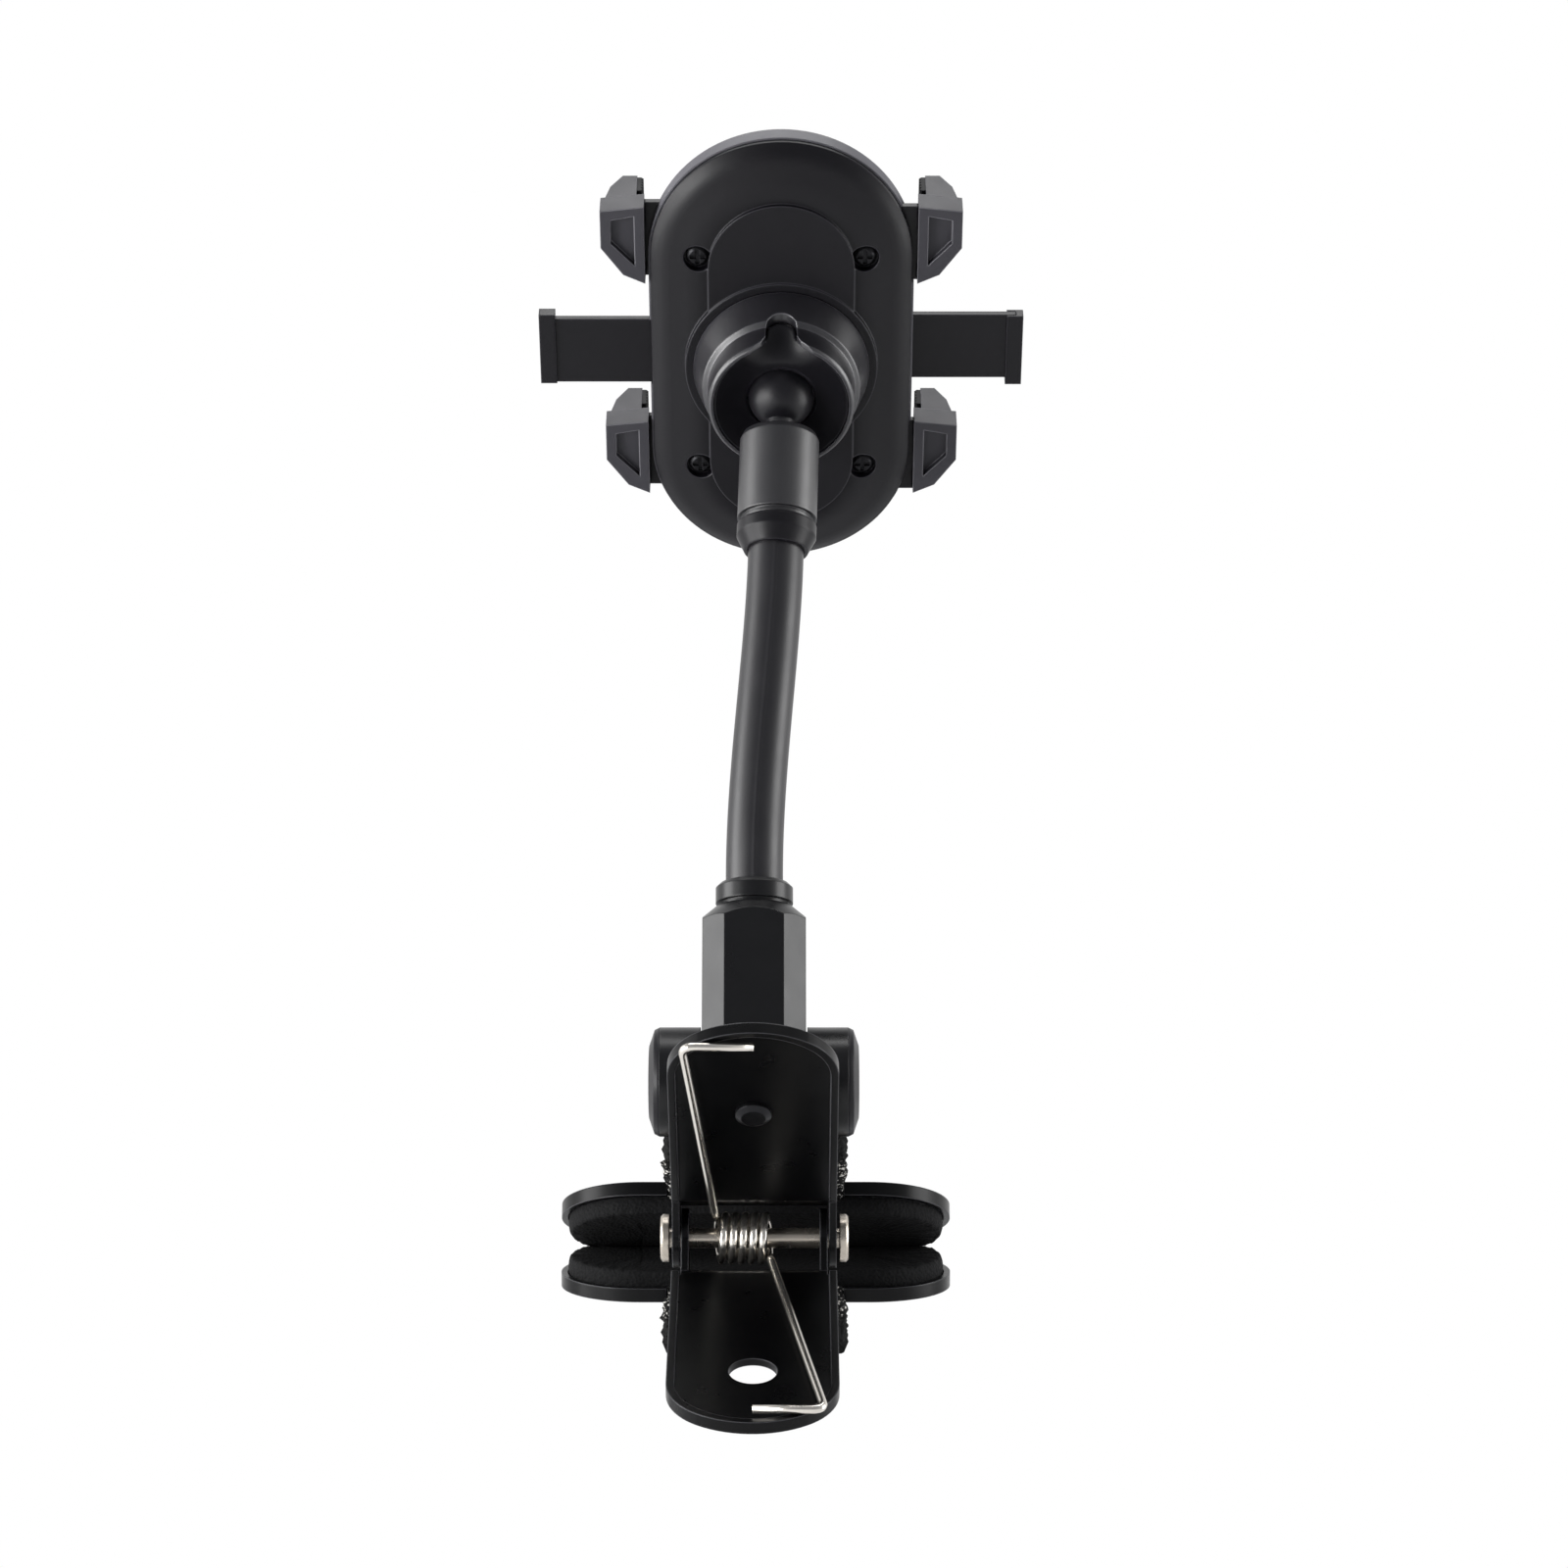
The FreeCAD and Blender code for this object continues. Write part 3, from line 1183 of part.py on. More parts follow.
def clamp_pad(name, hand, drop):
    """A rubber pad whose ribs run along the phone's edge."""
    body = doc.addObject("PartDesign::Body", name)
    ribs = int((size("finger_reach") - size("pad_start")) / size("pad_pitch"))
    corners = [(f"{hand}{finger_inner}", "-pad_start")]
    for n in range(ribs):
        corners.append((f"{hand}(pad_inner + pad_rib)", f"-pad_start - {n} * pad_pitch"))
        corners.append((f"{hand}pad_inner", f"-pad_start - {n + 0.5} * pad_pitch"))
    corners.append((f"{hand}(pad_inner + pad_rib)", f"-pad_start - {ribs} * pad_pitch"))
    corners.append((f"{hand}{finger_inner}", f"-pad_start - {ribs} * pad_pitch"))
    middle = f"({clamp_top} - {drop} - finger_step - pad_height / 2)"
    pad(body, outline(body, "XZ_Plane", corners, f"-{middle}"), "pad_height", both=True)
    return body


level_a = "(-plate_top)"
level_b = "(-plate_top - plate_gauge - plate_gap)"
for label, hand, level in (("right", "", level_a), ("left", "-", level_b)):
    for kind, maker in (("blocks", clamp_block), ("pads", clamp_pad)):
        made = []
        for drop in ("0", clamp_shift):
            extra = (level,) if kind == "blocks" else ()
            made.append(maker(f"{label.title()}Clamp{kind.title()}", hand, drop, *extra))
        group = doc.addObject("Part::Compound", f"{label.title()}{kind.title()}")
        group.Links = made
        node(group, f"{label}_clamp_{kind}", cradle_frame)


def tab_grip(name):
    """A cap over the end of a slider's tab, with a lip at one corner."""
    body = doc.addObject("PartDesign::Body", name)
    far = "-(tab_reach + plate_gauge)"
    near = "-(tab_reach + plate_gauge - grip_length)"
    plan = box(far, near, "-tab_width / 2", "tab_width / 2")
    low = "-(plate_top + plate_gauge + grip_lip / 2)"
    pad(body, outline(body, "XY_Plane", plan, low), "plate_gauge + grip_lip")
    lip = box(far, near, "tab_width / 2", "tab_width / 2 + grip_lip")
    pad(body, outline(body, "XY_Plane", lip, low), "plate_gauge + grip_lip")
    hollow = box(
        "-(tab_reach + fit_clearance)",
        "-(tab_reach - grip_length)",
        "-tab_width",
        "tab_width / 2 + fit_clearance",
    )
    mouth = outline(body, "XY_Plane", hollow, "fit_clearance - plate_top")
    pocket(body, mouth, "plate_gauge + 2 * fit_clearance")
    return body


node(tab_grip("LeftTabGrip"), "left_tab_grip", cradle_frame)
node(tab_grip("RightTabGrip"), "right_tab_grip", front_frame)

doc.recompute()
for item in nodes:
    if not item.isValid() or item.Shape.isNull() or not item.Shape.isValid():
        raise RuntimeError(item.Label + " did not build")
    item.Shape.exportStep(f"parts/{item.Label}.step")
print("wrote", len(nodes), "sub-parts")
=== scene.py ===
# %% [markdown]
# Guitar phone holder: a spring clip for a headstock, a bendable neck and a phone cradle on a ball
# joint. The hard pieces keep their solid shapes and get finishes here. The soft and springy pieces,
# which are the jaw linings, the rubber neck and the torsion spring, are built as surfaces from
# formulas, and so is the bowl inside the lock nut.

# %% Setup
import math

import bpy
import numpy as np
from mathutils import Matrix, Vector


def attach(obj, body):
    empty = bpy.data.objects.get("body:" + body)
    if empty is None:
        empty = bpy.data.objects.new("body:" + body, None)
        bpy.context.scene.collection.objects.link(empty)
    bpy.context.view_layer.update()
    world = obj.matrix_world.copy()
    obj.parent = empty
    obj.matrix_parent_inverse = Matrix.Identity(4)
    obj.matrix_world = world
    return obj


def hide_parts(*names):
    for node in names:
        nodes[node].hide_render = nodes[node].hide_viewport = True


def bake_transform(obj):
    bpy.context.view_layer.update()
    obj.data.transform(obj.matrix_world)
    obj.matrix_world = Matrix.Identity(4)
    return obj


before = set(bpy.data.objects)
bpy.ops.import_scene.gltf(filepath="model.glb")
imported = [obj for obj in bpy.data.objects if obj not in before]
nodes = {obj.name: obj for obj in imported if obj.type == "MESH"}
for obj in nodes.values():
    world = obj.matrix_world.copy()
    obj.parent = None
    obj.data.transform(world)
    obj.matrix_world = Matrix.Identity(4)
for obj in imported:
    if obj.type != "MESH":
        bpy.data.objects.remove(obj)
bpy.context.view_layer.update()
MM = 0.001

# %% [markdown]
# Colours are given as the hex values that a photograph shows, so one function turns them into the
# linear values that the shaders work in. One function also adds a shader node with its settings and
# links.

# %% Colour and shader helpers
def linear(code):
    """The linear colour of a hex code.

    Each channel c becomes c / 12.92 when it is small, else ((c + 0.055) / 1.055) ^ 2.4.
    """
    channels = np.array([int(code[n:n + 2], 16) for n in (1, 3, 5)]) / 255
    low = channels / 12.92
    high = ((channels + 0.055) / 1.055) ** 2.4
    return (*np.where(channels <= 0.04045, low, high).tolist(), 1.0)


def add_node(tree, kind, settings=(), **inputs):
    """One shader node: settings are its options, inputs its sockets' values or the sockets linked to them."""
    made = tree.nodes.new(kind)
    for key, value in dict(settings).items():
        setattr(made, key, value)
    for key, value in inputs.items():
        socket = made.inputs[int(key[1:])] if key[0] == "n" and key[1:].isdigit() else made.inputs[key]
        if isinstance(value, bpy.types.NodeSocket):
            tree.links.new(value, socket)
        else:
            socket.default_value = value
    return made


def new_material(name):
    """An empty surface material: its tree, its shader and its object coordinates in metres."""
    made = bpy.data.materials.new(name)
    made.use_nodes = True
    tree = made.node_tree
    tree.nodes.clear()
    shader = add_node(tree, "ShaderNodeBsdfPrincipled")
    out = add_node(tree, "ShaderNodeOutputMaterial")
    tree.links.new(shader.outputs[0], out.inputs["Surface"])
    place = add_node(tree, "ShaderNodeTexCoord").outputs["Object"]
    return made, tree, shader, place


def noise(tree, place, size_mm, detail=3.0, roughness=0.5):
    """A noise whose lumps are about size_mm across, from 0 to 1."""
    return add_node(
        tree, "ShaderNodeTexNoise", Vector=place, Scale=1 / (size_mm * MM), Detail=detail, Roughness=roughness
    ).outputs[0]


def ramp(tree, value, start, end, low=0.0, high=1.0):
    """A value that goes evenly from low to high while another goes from start to end, and stays there."""
    limits = {"From Min": start, "From Max": end, "To Min": low, "To Max": high}
    return add_node(tree, "ShaderNodeMapRange", Value=value, **limits).outputs[0]


def reckon(tree, operation, *values):
    """One step of arithmetic on one or two values."""
    inputs = {f"n{place}": value for place, value in enumerate(values)}
    return add_node(tree, "ShaderNodeMath", {"operation": operation}, **inputs).outputs[0]


def mixed(tree, share, first, second):
    """A colour that goes from the first to the second as the share goes from 0 to 1."""
    return add_node(tree, "ShaderNodeMix", {"data_type": "RGBA"}, n0=share, n6=first, n7=second).outputs[2]


def shaded(colour, factor):
    """A colour with its three channels scaled."""
    return tuple(channel * factor for channel in colour[:3]) + (1.0,)


# %% [markdown]
# One recipe serves all moulded and coated pieces. A fine noise gives the grain, a coarse one the
# mottling of colour and another that of gloss. The sharp corners of the solids are softened, and a
# painted highlight is laid on each edge where the softened normal turns away from the plain one.

# %% Moulded surfaces
COLOUR_PATCH_MM, GLOSS_PATCH_MM = 14, 6
GLOSS_SWING = 0.03
HIGHLIGHT_START, HIGHLIGHT_END = 0.985, 0.85


def moulded(
    name, code, rough, grain_mm, grain_height, mottle=0.1, shine=0.3, metal=0.0, corner=0.35, edge=None
):
    """A moulded or coated surface: grain as relief, mottled colour and gloss, soft corners, painted highlights
    on edges.
    """
    made, tree, shader, place = new_material(name)
    base = linear(code)
    patch = noise(tree, place, COLOUR_PATCH_MM, 4.0)
    colour = mixed(tree, patch, shaded(base, 1 - mottle), shaded(base, 1 + mottle))
    rounded_normal = add_node(tree, "ShaderNodeBevel", {"samples": 8}, Radius=corner * MM).outputs[0]
    # Painted highlight: the colour turns towards the edge colour where the softened normal leaves the plain
    # one.
    if edge:
        flat = add_node(tree, "ShaderNodeNewGeometry").outputs["Normal"]
        facing = {"operation": "DOT_PRODUCT"}
        turn = add_node(tree, "ShaderNodeVectorMath", facing, n0=rounded_normal, n1=flat).outputs["Value"]
        colour = mixed(tree, ramp(tree, turn, HIGHLIGHT_START, HIGHLIGHT_END), colour, linear(edge))
    tree.links.new(colour, shader.inputs["Base Color"])
    patch = noise(tree, place, GLOSS_PATCH_MM)
    gloss = ramp(tree, patch, 0.3, 0.7, rough - GLOSS_SWING, rough + GLOSS_SWING)
    tree.links.new(gloss, shader.inputs["Roughness"])
    relief = add_node(tree, "ShaderNodeBump", Strength=1.0, Distance=grain_height * MM, Normal=rounded_normal)
    tree.links.new(noise(tree, place, grain_mm, 2.0), relief.inputs["Height"])
    tree.links.new(relief.outputs[0], shader.inputs["Normal"])
    shader.inputs["Metallic"].default_value = metal
    shader.inputs["Specular IOR Level"].default_value = shine
    return made


# %% [markdown]
# The mouldings are black nylon with a fine spark-eroded grain, the front shell and the clamp blocks
# a greyer plastic. The levers are stamped steel with a smooth black stoving enamel. Pin and spring
# are bare bright steel, the screws are blackened.

# %% Finishes
# The edge colours given below are painted highlights on the softened corners.
# Black glass-filled nylon, as moulded: cover, tabs, upper collar
BLACK_NYLON = moulded("black_nylon", "#0d0c10", 0.38, 0.3, 0.006, shine=0.22, corner=0.6, edge="#2c2b30")
# The same nylon from a smoother mould: the lock nut
NUT_NYLON = moulded("smooth_black_nylon", "#1b1a1e", 0.33, 0.3, 0.004, shine=0.75, corner=0.6, edge="#4c4b50")
# The same nylon with a coarser spark-eroded face: ball stem
GRAINED_NYLON = moulded("grained_black_nylon", "#121115", 0.4, 0.25, 0.012, shine=0.9)
# Polished black nylon: hinge and neck socket
SATIN_NYLON = moulded("satin_black_nylon", "#0c0c0e", 0.3, 0.6, 0.003, shine=0.32)
# Dark grey plastic: clamp blocks
GREY_PLASTIC = moulded("dark_grey_plastic", "#2f2e33", 0.5, 0.3, 0.008, corner=0.45, edge="#6c6b70")
# Mid grey plastic: the shell behind the phone
SHELL_PLASTIC = moulded("grey_shell_plastic", "#545358", 0.5, 0.3, 0.008)
# Black stoving enamel on stamped steel
BLACK_ENAMEL = moulded(
    "black_enamel", "#060607", 0.3, 1.2, 0.002, mottle=0.04, shine=0.15, corner=0.45, edge="#48484b"
)
# Satin black rubber skin of the neck
SOFT_RUBBER = moulded("black_rubber", "#121115", 0.4, 0.4, 0.01, shine=0.5)
# Matte black rubber of the clamps' pads
PAD_RUBBER = moulded("matte_black_rubber", "#121214", 0.65, 0.3, 0.01, shine=0.2)
# Drawn spring steel
SPRING_STEEL = moulded("drawn_spring_steel", "#d8d3cb", 0.17, 2.0, 0.002, mottle=0.05, metal=0.95)
# Turned steel of the pin, browned by oil
PIN_STEEL = moulded("turned_steel", "#b8b0a5", 0.28, 0.5, 0.003, mottle=0.08, metal=0.9)
# Blackened screws
SCREW_STEEL = moulded("blackened_steel", "#232325", 0.35, 0.8, 0.004, mottle=0.08, metal=0.8)


def dress(material, *names):
    """Gives solid pieces their finish."""
    for name in names:
        mesh = nodes[name].data
        mesh.materials.clear()
        mesh.materials.append(material)


dress(BLACK_ENAMEL, "upper_lever", "lower_lever")
dress(PIN_STEEL, "pivot_pin")
dress(SATIN_NYLON, "hinge_base", "neck_socket", "neck_lower_collar")
dress(BLACK_NYLON, "back_cover", "slider_a", "slider_b", "pinion", "left_tab_grip", "right_tab_grip")
dress(BLACK_NYLON, "neck_upper_collar", "hinge_end_caps")
dress(NUT_NYLON, "lock_nut")
dress(GRAINED_NYLON, "ball_stem")
dress(GREY_PLASTIC, "left_clamp_blocks", "right_clamp_blocks")
dress(SHELL_PLASTIC, "front_shell")
dress(PAD_RUBBER, "left_clamp_pads", "right_clamp_pads")
dress(SOFT_RUBBER, "neck_sleeve")
dress(SCREW_STEEL, "cover_screws", "hinge_base_screw", "hinge_bolt", "hinge_nut", "neck_core")
dress(SPRING_STEEL, "return_springs", "clip_spring")
print("finishes", len(bpy.data.materials))

# %% [markdown]
# New pieces are grids of points worked out with whole arrays. A tube is a circle carried along a
# path without twisting, so it suits both the rubber skin of the neck and the drawn wire of the
# spring.

# %% Surfaces
def unit(vectors):
    """Vectors scaled to length one."""
    vectors = np.asarray(vectors, float)
    return vectors / np.linalg.norm(vectors, axis=-1, keepdims=True)


def grid_object(name, points, material, endless=False):
    """A smooth mesh over rows of points, each row a ring; end rings are capped, or joined when endless."""
    rows, count = points.shape[:2]
    row, col = np.meshgrid(np.arange(rows if endless else rows - 1), np.arange(count), indexing="ij")
    after = (col + 1) % count
    over = (row + 1) % rows
    quads = np.stack([row * count + col, row * count + after, over * count + after, over * count + col], -1)
    faces = quads.reshape(-1, 4).tolist()
    if not endless:
        faces.append(list(range(count))[::-1])
        faces.append(list(range((rows - 1) * count, rows * count)))
    mesh = bpy.data.meshes.new(name)
    mesh.from_pydata(points.reshape(-1, 3).tolist(), [], faces)
    mesh.polygons.foreach_set("use_smooth", np.ones(len(mesh.polygons), bool))
    mesh.materials.append(material)
    mesh.update()
    made = bpy.data.objects.new(name, mesh)
    bpy.context.scene.collection.objects.link(made)
    return made


SEAM_WIDTH = 0.06


def tube(name, path, radius, sides, material, seam=0.0):
    """A round tube: at each path point, radius times (cos a, sin a) in a frame carried along untwisted.

    A seam is a low ridge, exp(-(a / width)^2) high, at angle 0, the side that faces the handles.
    """
    heads = unit(np.gradient(path, axis=0))
    side = np.array([0.0, -1.0, 0.0])
    carried = []
    for head in heads:
        side = unit(side - head * np.dot(side, head))
        carried.append(side)
    first = np.array(carried)
    second = np.cross(heads, first)
    angle = np.linspace(0, 2 * math.pi, sides, endpoint=False)
    ridge = seam * np.exp(-((angle + math.pi) % (2 * math.pi) - math.pi) ** 2 / SEAM_WIDTH ** 2)
    ahead = np.cos(angle)[None, :, None] * first[:, None, :]
    ring = ahead + np.sin(angle)[None, :, None] * second[:, None, :]
    return grid_object(name, path[:, None, :] + (radius + ridge)[None, :, None] * ring, material)


# %% [markdown]
# The neck is a soft steel core in a black rubber skin. Its path leaves the socket and meets the
# upper collar straight, so one cubic with those two directions follows it.

# %% Neck
HINGE = np.array([0, -61.4, 31.4]) * MM
NECK_LEAN = math.radians(7.4)
BALL = np.array([5.6, -33.5, 183.4]) * MM
STEM_LEAN, STEM_ROLL = math.radians(13), math.radians(1.8)
TUBE_RADIUS = 6.0 * MM
CORE_RADIUS = 3.9 * MM
SOCKET_FLOOR, SOCKET_MOUTH = 23.2 * MM, 44.1 * MM
COLLAR_MOUTH, COLLAR_FLOOR = 39.4 * MM, 34.7 * MM
SEAM_HEIGHT = 0.12 * MM
neck_up = np.array([0, math.sin(NECK_LEAN), math.cos(NECK_LEAN)])
stem_up = np.array([
    math.cos(STEM_LEAN) * math.sin(STEM_ROLL), math.sin(STEM_LEAN), math.cos(STEM_LEAN) * math.cos(STEM_ROLL)
])
low_in, low_out = HINGE + neck_up * SOCKET_FLOOR, HINGE + neck_up * SOCKET_MOUTH
high_out, high_in = BALL - stem_up * COLLAR_MOUTH, BALL - stem_up * COLLAR_FLOOR


def cubic(start, start_run, end, end_run, count):
    """Points of a cubic with given ends and end directions, scaled by the distance between the ends."""
    t = np.linspace(0, 1, count)[:, None]
    span = np.linalg.norm(end - start)
    first = start + start_run * span / 3
    second = end - end_run * span / 3
    return (1 - t) ** 3 * start + 3 * t * (1 - t) ** 2 * first + 3 * t * t * (1 - t) * second + t ** 3 * end


def straight(start, end, count):
    """Evenly spaced points from one point up to, but without, another."""
    return start + (end - start) * np.linspace(0, 1, count, endpoint=False)[:, None]


neck_path = np.concatenate([
    straight(low_in, low_out, 8),
    cubic(low_out, neck_up, high_out, stem_up, 60),
    straight(high_in, high_out, 4)[::-1],
])
skin = tube("neck_rubber_skin", neck_path, TUBE_RADIUS, 160, SOFT_RUBBER, seam=SEAM_HEIGHT)
core = tube("neck_steel_core", neck_path, CORE_RADIUS, 20, SCREW_STEEL)
for piece, node, slot in ((skin, "neck_sleeve", "neck_rubber"), (core, "neck_core", "screw_steel")):
    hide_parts(node)
    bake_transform(piece)
print("neck length mm", round(float(np.linalg.norm(np.diff(neck_path, axis=0), axis=1).sum()) / MM, 1))

# %% [markdown]
# The ball is greased and lies in the shade of the lock nut, so it shines less than the stem that it
# ends. One finish serves both, and its shine grows with the distance from the ball's centre.

# %% Ball finish
BALL_RADIUS, SHADE_END = 7.2 * MM, 8.2 * MM
BALL_SHINE, STEM_SHINE = 0.25, 0.9


def shade_ball(material, piece):
    """Dulls a finish inside the ball's radius and lets it reach its full shine a little outside."""
    tree = material.node_tree
    middle = tuple(nodes[piece].matrix_world.inverted() @ Vector(BALL))
    place = add_node(tree, "ShaderNodeTexCoord").outputs["Object"]
    apart = {"operation": "DISTANCE"}
    far = add_node(tree, "ShaderNodeVectorMath", apart, n0=place, n1=middle).outputs["Value"]
    shine = ramp(tree, far, BALL_RADIUS, SHADE_END, BALL_SHINE, STEM_SHINE)
    shader = next(node for node in tree.nodes if node.type == "BSDF_PRINCIPLED")
    tree.links.new(shine, shader.inputs["Specular IOR Level"])


shade_ball(GRAINED_NYLON, "ball_stem")
print("ball finish nodes", len(GRAINED_NYLON.node_tree.nodes))

# %% [markdown]
# Inside the lock nut a smooth bowl leads down to the ball and hides the slit cup. It is a turned
# surface whose height grows with the radius, with a channel that falls outwards into the nut's
# slot. It turns with the nut.

# %% Nut bowl
CRADLE_BACK = np.array([0, -1, -1]) / math.sqrt(2)
CRADLE_UP = np.array([0, -1, 1]) / math.sqrt(2)
CRADLE_SIDE = np.array([1.0, 0, 0])
BALL_HEIGHT = 18.5 * MM
BOWL_IN, BOWL_OUT = 7.45 * MM, 14.7 * MM
BOWL_LOW, BOWL_RISE, BOWL_CURVE = 19.75 * MM, 2.8 * MM, 1.7
LIP_WALL_MM, WALL_GAIN_MM = 0.12, 0.5
CHANNEL_FALL, CHANNEL_GAIN, CHANNEL_ANGLE = 5.3 * MM, 0.9 * MM, math.radians(24)
CHANNEL_CURVE = 1.3
CUP_SHARE = 0.22
SLOT_HALF, NUT_GAP = 3.2 * MM, 0.12 * MM
NUT_HEIGHTS, NUT_RADII = np.array([15.1, 17.9, 22.8]) * MM, np.array([12.7, 14.45, 14.8]) * MM


def nut_bowl(name):
    """A bowl whose height is low + rise s^curve, with s from 0 at its lip to 1 at its rim.

    It is lower in a channel that goes as exp(-(a / A)^2) with the angle from the slot and falls outwards
    as d^curve, with d from 0 just outside the ball's cup to 1 at the rim.
    """
    angle = np.linspace(0, 2 * math.pi, 240, endpoint=False)
    off = (angle - math.pi / 2 + math.pi) % (2 * math.pi) - math.pi
    channel = np.exp(-(off / CHANNEL_ANGLE) ** 2)
    share = np.linspace(0, 1, 20)[:, None]
    radius = BOWL_IN + (BOWL_OUT + CHANNEL_GAIN * channel - BOWL_IN) * share
    depth = np.clip((share - CUP_SHARE) / (1 - CUP_SHARE), 0, 1) ** CHANNEL_CURVE
    rise = BOWL_RISE * share ** BOWL_CURVE * (1 - channel)
    height = BOWL_LOW + rise - CHANNEL_FALL * depth * channel
    wall = (LIP_WALL_MM + WALL_GAIN_MM * share) * MM
    radius = np.concatenate([radius, radius[::-1]])
    height = np.concatenate([height, (height - wall)[::-1]])
    inside = np.minimum(radius, np.interp(height, NUT_HEIGHTS, NUT_RADII) - NUT_GAP)
    radius = np.where(np.abs(radius * np.cos(angle)) > SLOT_HALF, inside, radius)
    ring = np.cos(angle)[:, None] * CRADLE_SIDE + np.sin(angle)[:, None] * CRADLE_UP
    centre = BALL - CRADLE_BACK * BALL_HEIGHT
    points = centre + radius[..., None] * ring + height[..., None] * CRADLE_BACK
    return grid_object(name, points, BLACK_NYLON, endless=True)


bowl = nut_bowl("lock_nut_bowl")
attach(bowl, "socket")
print("bowl faces", len(bowl.data.polygons))

# %% [markdown]
# The torsion spring is drawn wire: five and a half turns round the pin, then a leg along each
# handle that ends in a hook.

# %% Clip spring
PIVOT = np.array([0, -42, 0]) * MM
WIRE_RADIUS = 0.875 * MM
COIL_RADIUS = 4.7 * MM
COIL_START, COIL_PITCH, COIL_TURNS = -8.1 * MM, 2.1 * MM, 5.5
SLOPE = math.radians(31)
BEND = np.array([0, -9, 7.8]) * MM
run = np.array([0, -math.cos(SLOPE), math.sin(SLOPE)])
out = np.array([0, math.sin(SLOPE), math.cos(SLOPE)])
HALF_GAUGE, LEG_GAP, HANDLE_RIM = 0.8 * MM, 0.15 * MM, 2.6 * MM
LEG_REST = HALF_GAUGE + WIRE_RADIUS + LEG_GAP
TIP_REST = HANDLE_RIM - HALF_GAUGE + WIRE_RADIUS + LEG_GAP
KNEE_BACK = 2 * (HALF_GAUGE + WIRE_RADIUS)
LEG_BEND = 2.6 * MM
LEG_REACH = 58.2 * MM
UPPER_SIDE, LOWER_SIDE, HOOK = -14 * MM, 14.2 * MM, 14.2 * MM
TURN_STEPS = 28


def rounded(points, radius, per_corner=7):
    """A path through points, each inner corner replaced by a quadratic curve that starts radius before it."""
    points = np.asarray(points, float)
    path = [points[:1]]
    t = np.linspace(0, 1, per_corner)[:, None]
    for before, corner, after in zip(points[:-2], points[1:-1], points[2:]):
        start = corner + unit(before - corner) * radius
        end = corner + unit(after - corner) * radius
        path.append((1 - t) ** 2 * start + 2 * t * (1 - t) * corner + t * t * end)
    path.append(points[-1:])
    return np.concatenate(path)


def spring_leg(begin, reach, side, hook, hand):
    """A leg from the coil's top over the knee to its hook; hand -1 mirrors it to the lower lever."""
    knee = BEND - out * LEG_REST - run * KNEE_BACK
    tip = BEND + run * reach - out * TIP_REST
    points = np.array([
        [begin, 0, COIL_RADIUS],
        [begin, knee[1], knee[2]],
        [side, tip[1], tip[2]],
        [side + hook, tip[1], tip[2]],
    ])
    return rounded(points * [1, 1, hand], LEG_BEND)


turn = np.linspace(0, 2 * math.pi * COIL_TURNS, int(TURN_STEPS * COIL_TURNS) + 1)
coil = np.stack([
    COIL_START + COIL_PITCH * turn / (2 * math.pi),
    COIL_RADIUS * np.sin(turn),
    COIL_RADIUS * np.cos(turn),
], -1)
upper_leg = spring_leg(COIL_START, LEG_REACH, UPPER_SIDE, HOOK, 1)
lower_leg = spring_leg(coil[-1, 0], LEG_REACH, LOWER_SIDE, -HOOK, -1)
wire_path = np.concatenate([upper_leg[:0:-1], coil, lower_leg[1:]]) + PIVOT
spring = tube("torsion_spring_wire", wire_path, WIRE_RADIUS, 16, SPRING_STEEL)
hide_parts("clip_spring")
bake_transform(spring)
print("wire length mm", round(float(np.linalg.norm(np.diff(wire_path, axis=0), axis=1).sum()) / MM, 1))

# %% [markdown]
# The jaw linings are black foam rubber: a thick pad with rounded edges in each wing, and a rough
# tongue that lines the throat. Each is a stack of racetrack rings, or of flattened loops along the
# bent sheet, roughened by sums of sines.

# %% Jaw foam
WING_ORIGIN = np.array([0, 0, 8.6]) * MM
WING_SLOPE = math.radians(14)
WING_RUN, WING_RADIUS = 24.7 * MM, 18.0 * MM
FOAM_INSET, FOAM_TOP, FOAM_LOW = 1.55 * MM, -1.62 * MM, -6.6 * MM
FOAM_MEET = 0.02 * MM
FOAM_EDGE = 0.9 * MM
FOAM_RINGS = np.array([17.7, 12.0, 6.0, 3.0]) * MM
SIDEWAYS = np.array([1.0, 0, 0])
wing_along = np.array([0, math.cos(WING_SLOPE), -math.sin(WING_SLOPE)])
wing_out = np.array([0, math.sin(WING_SLOPE), math.cos(WING_SLOPE)])


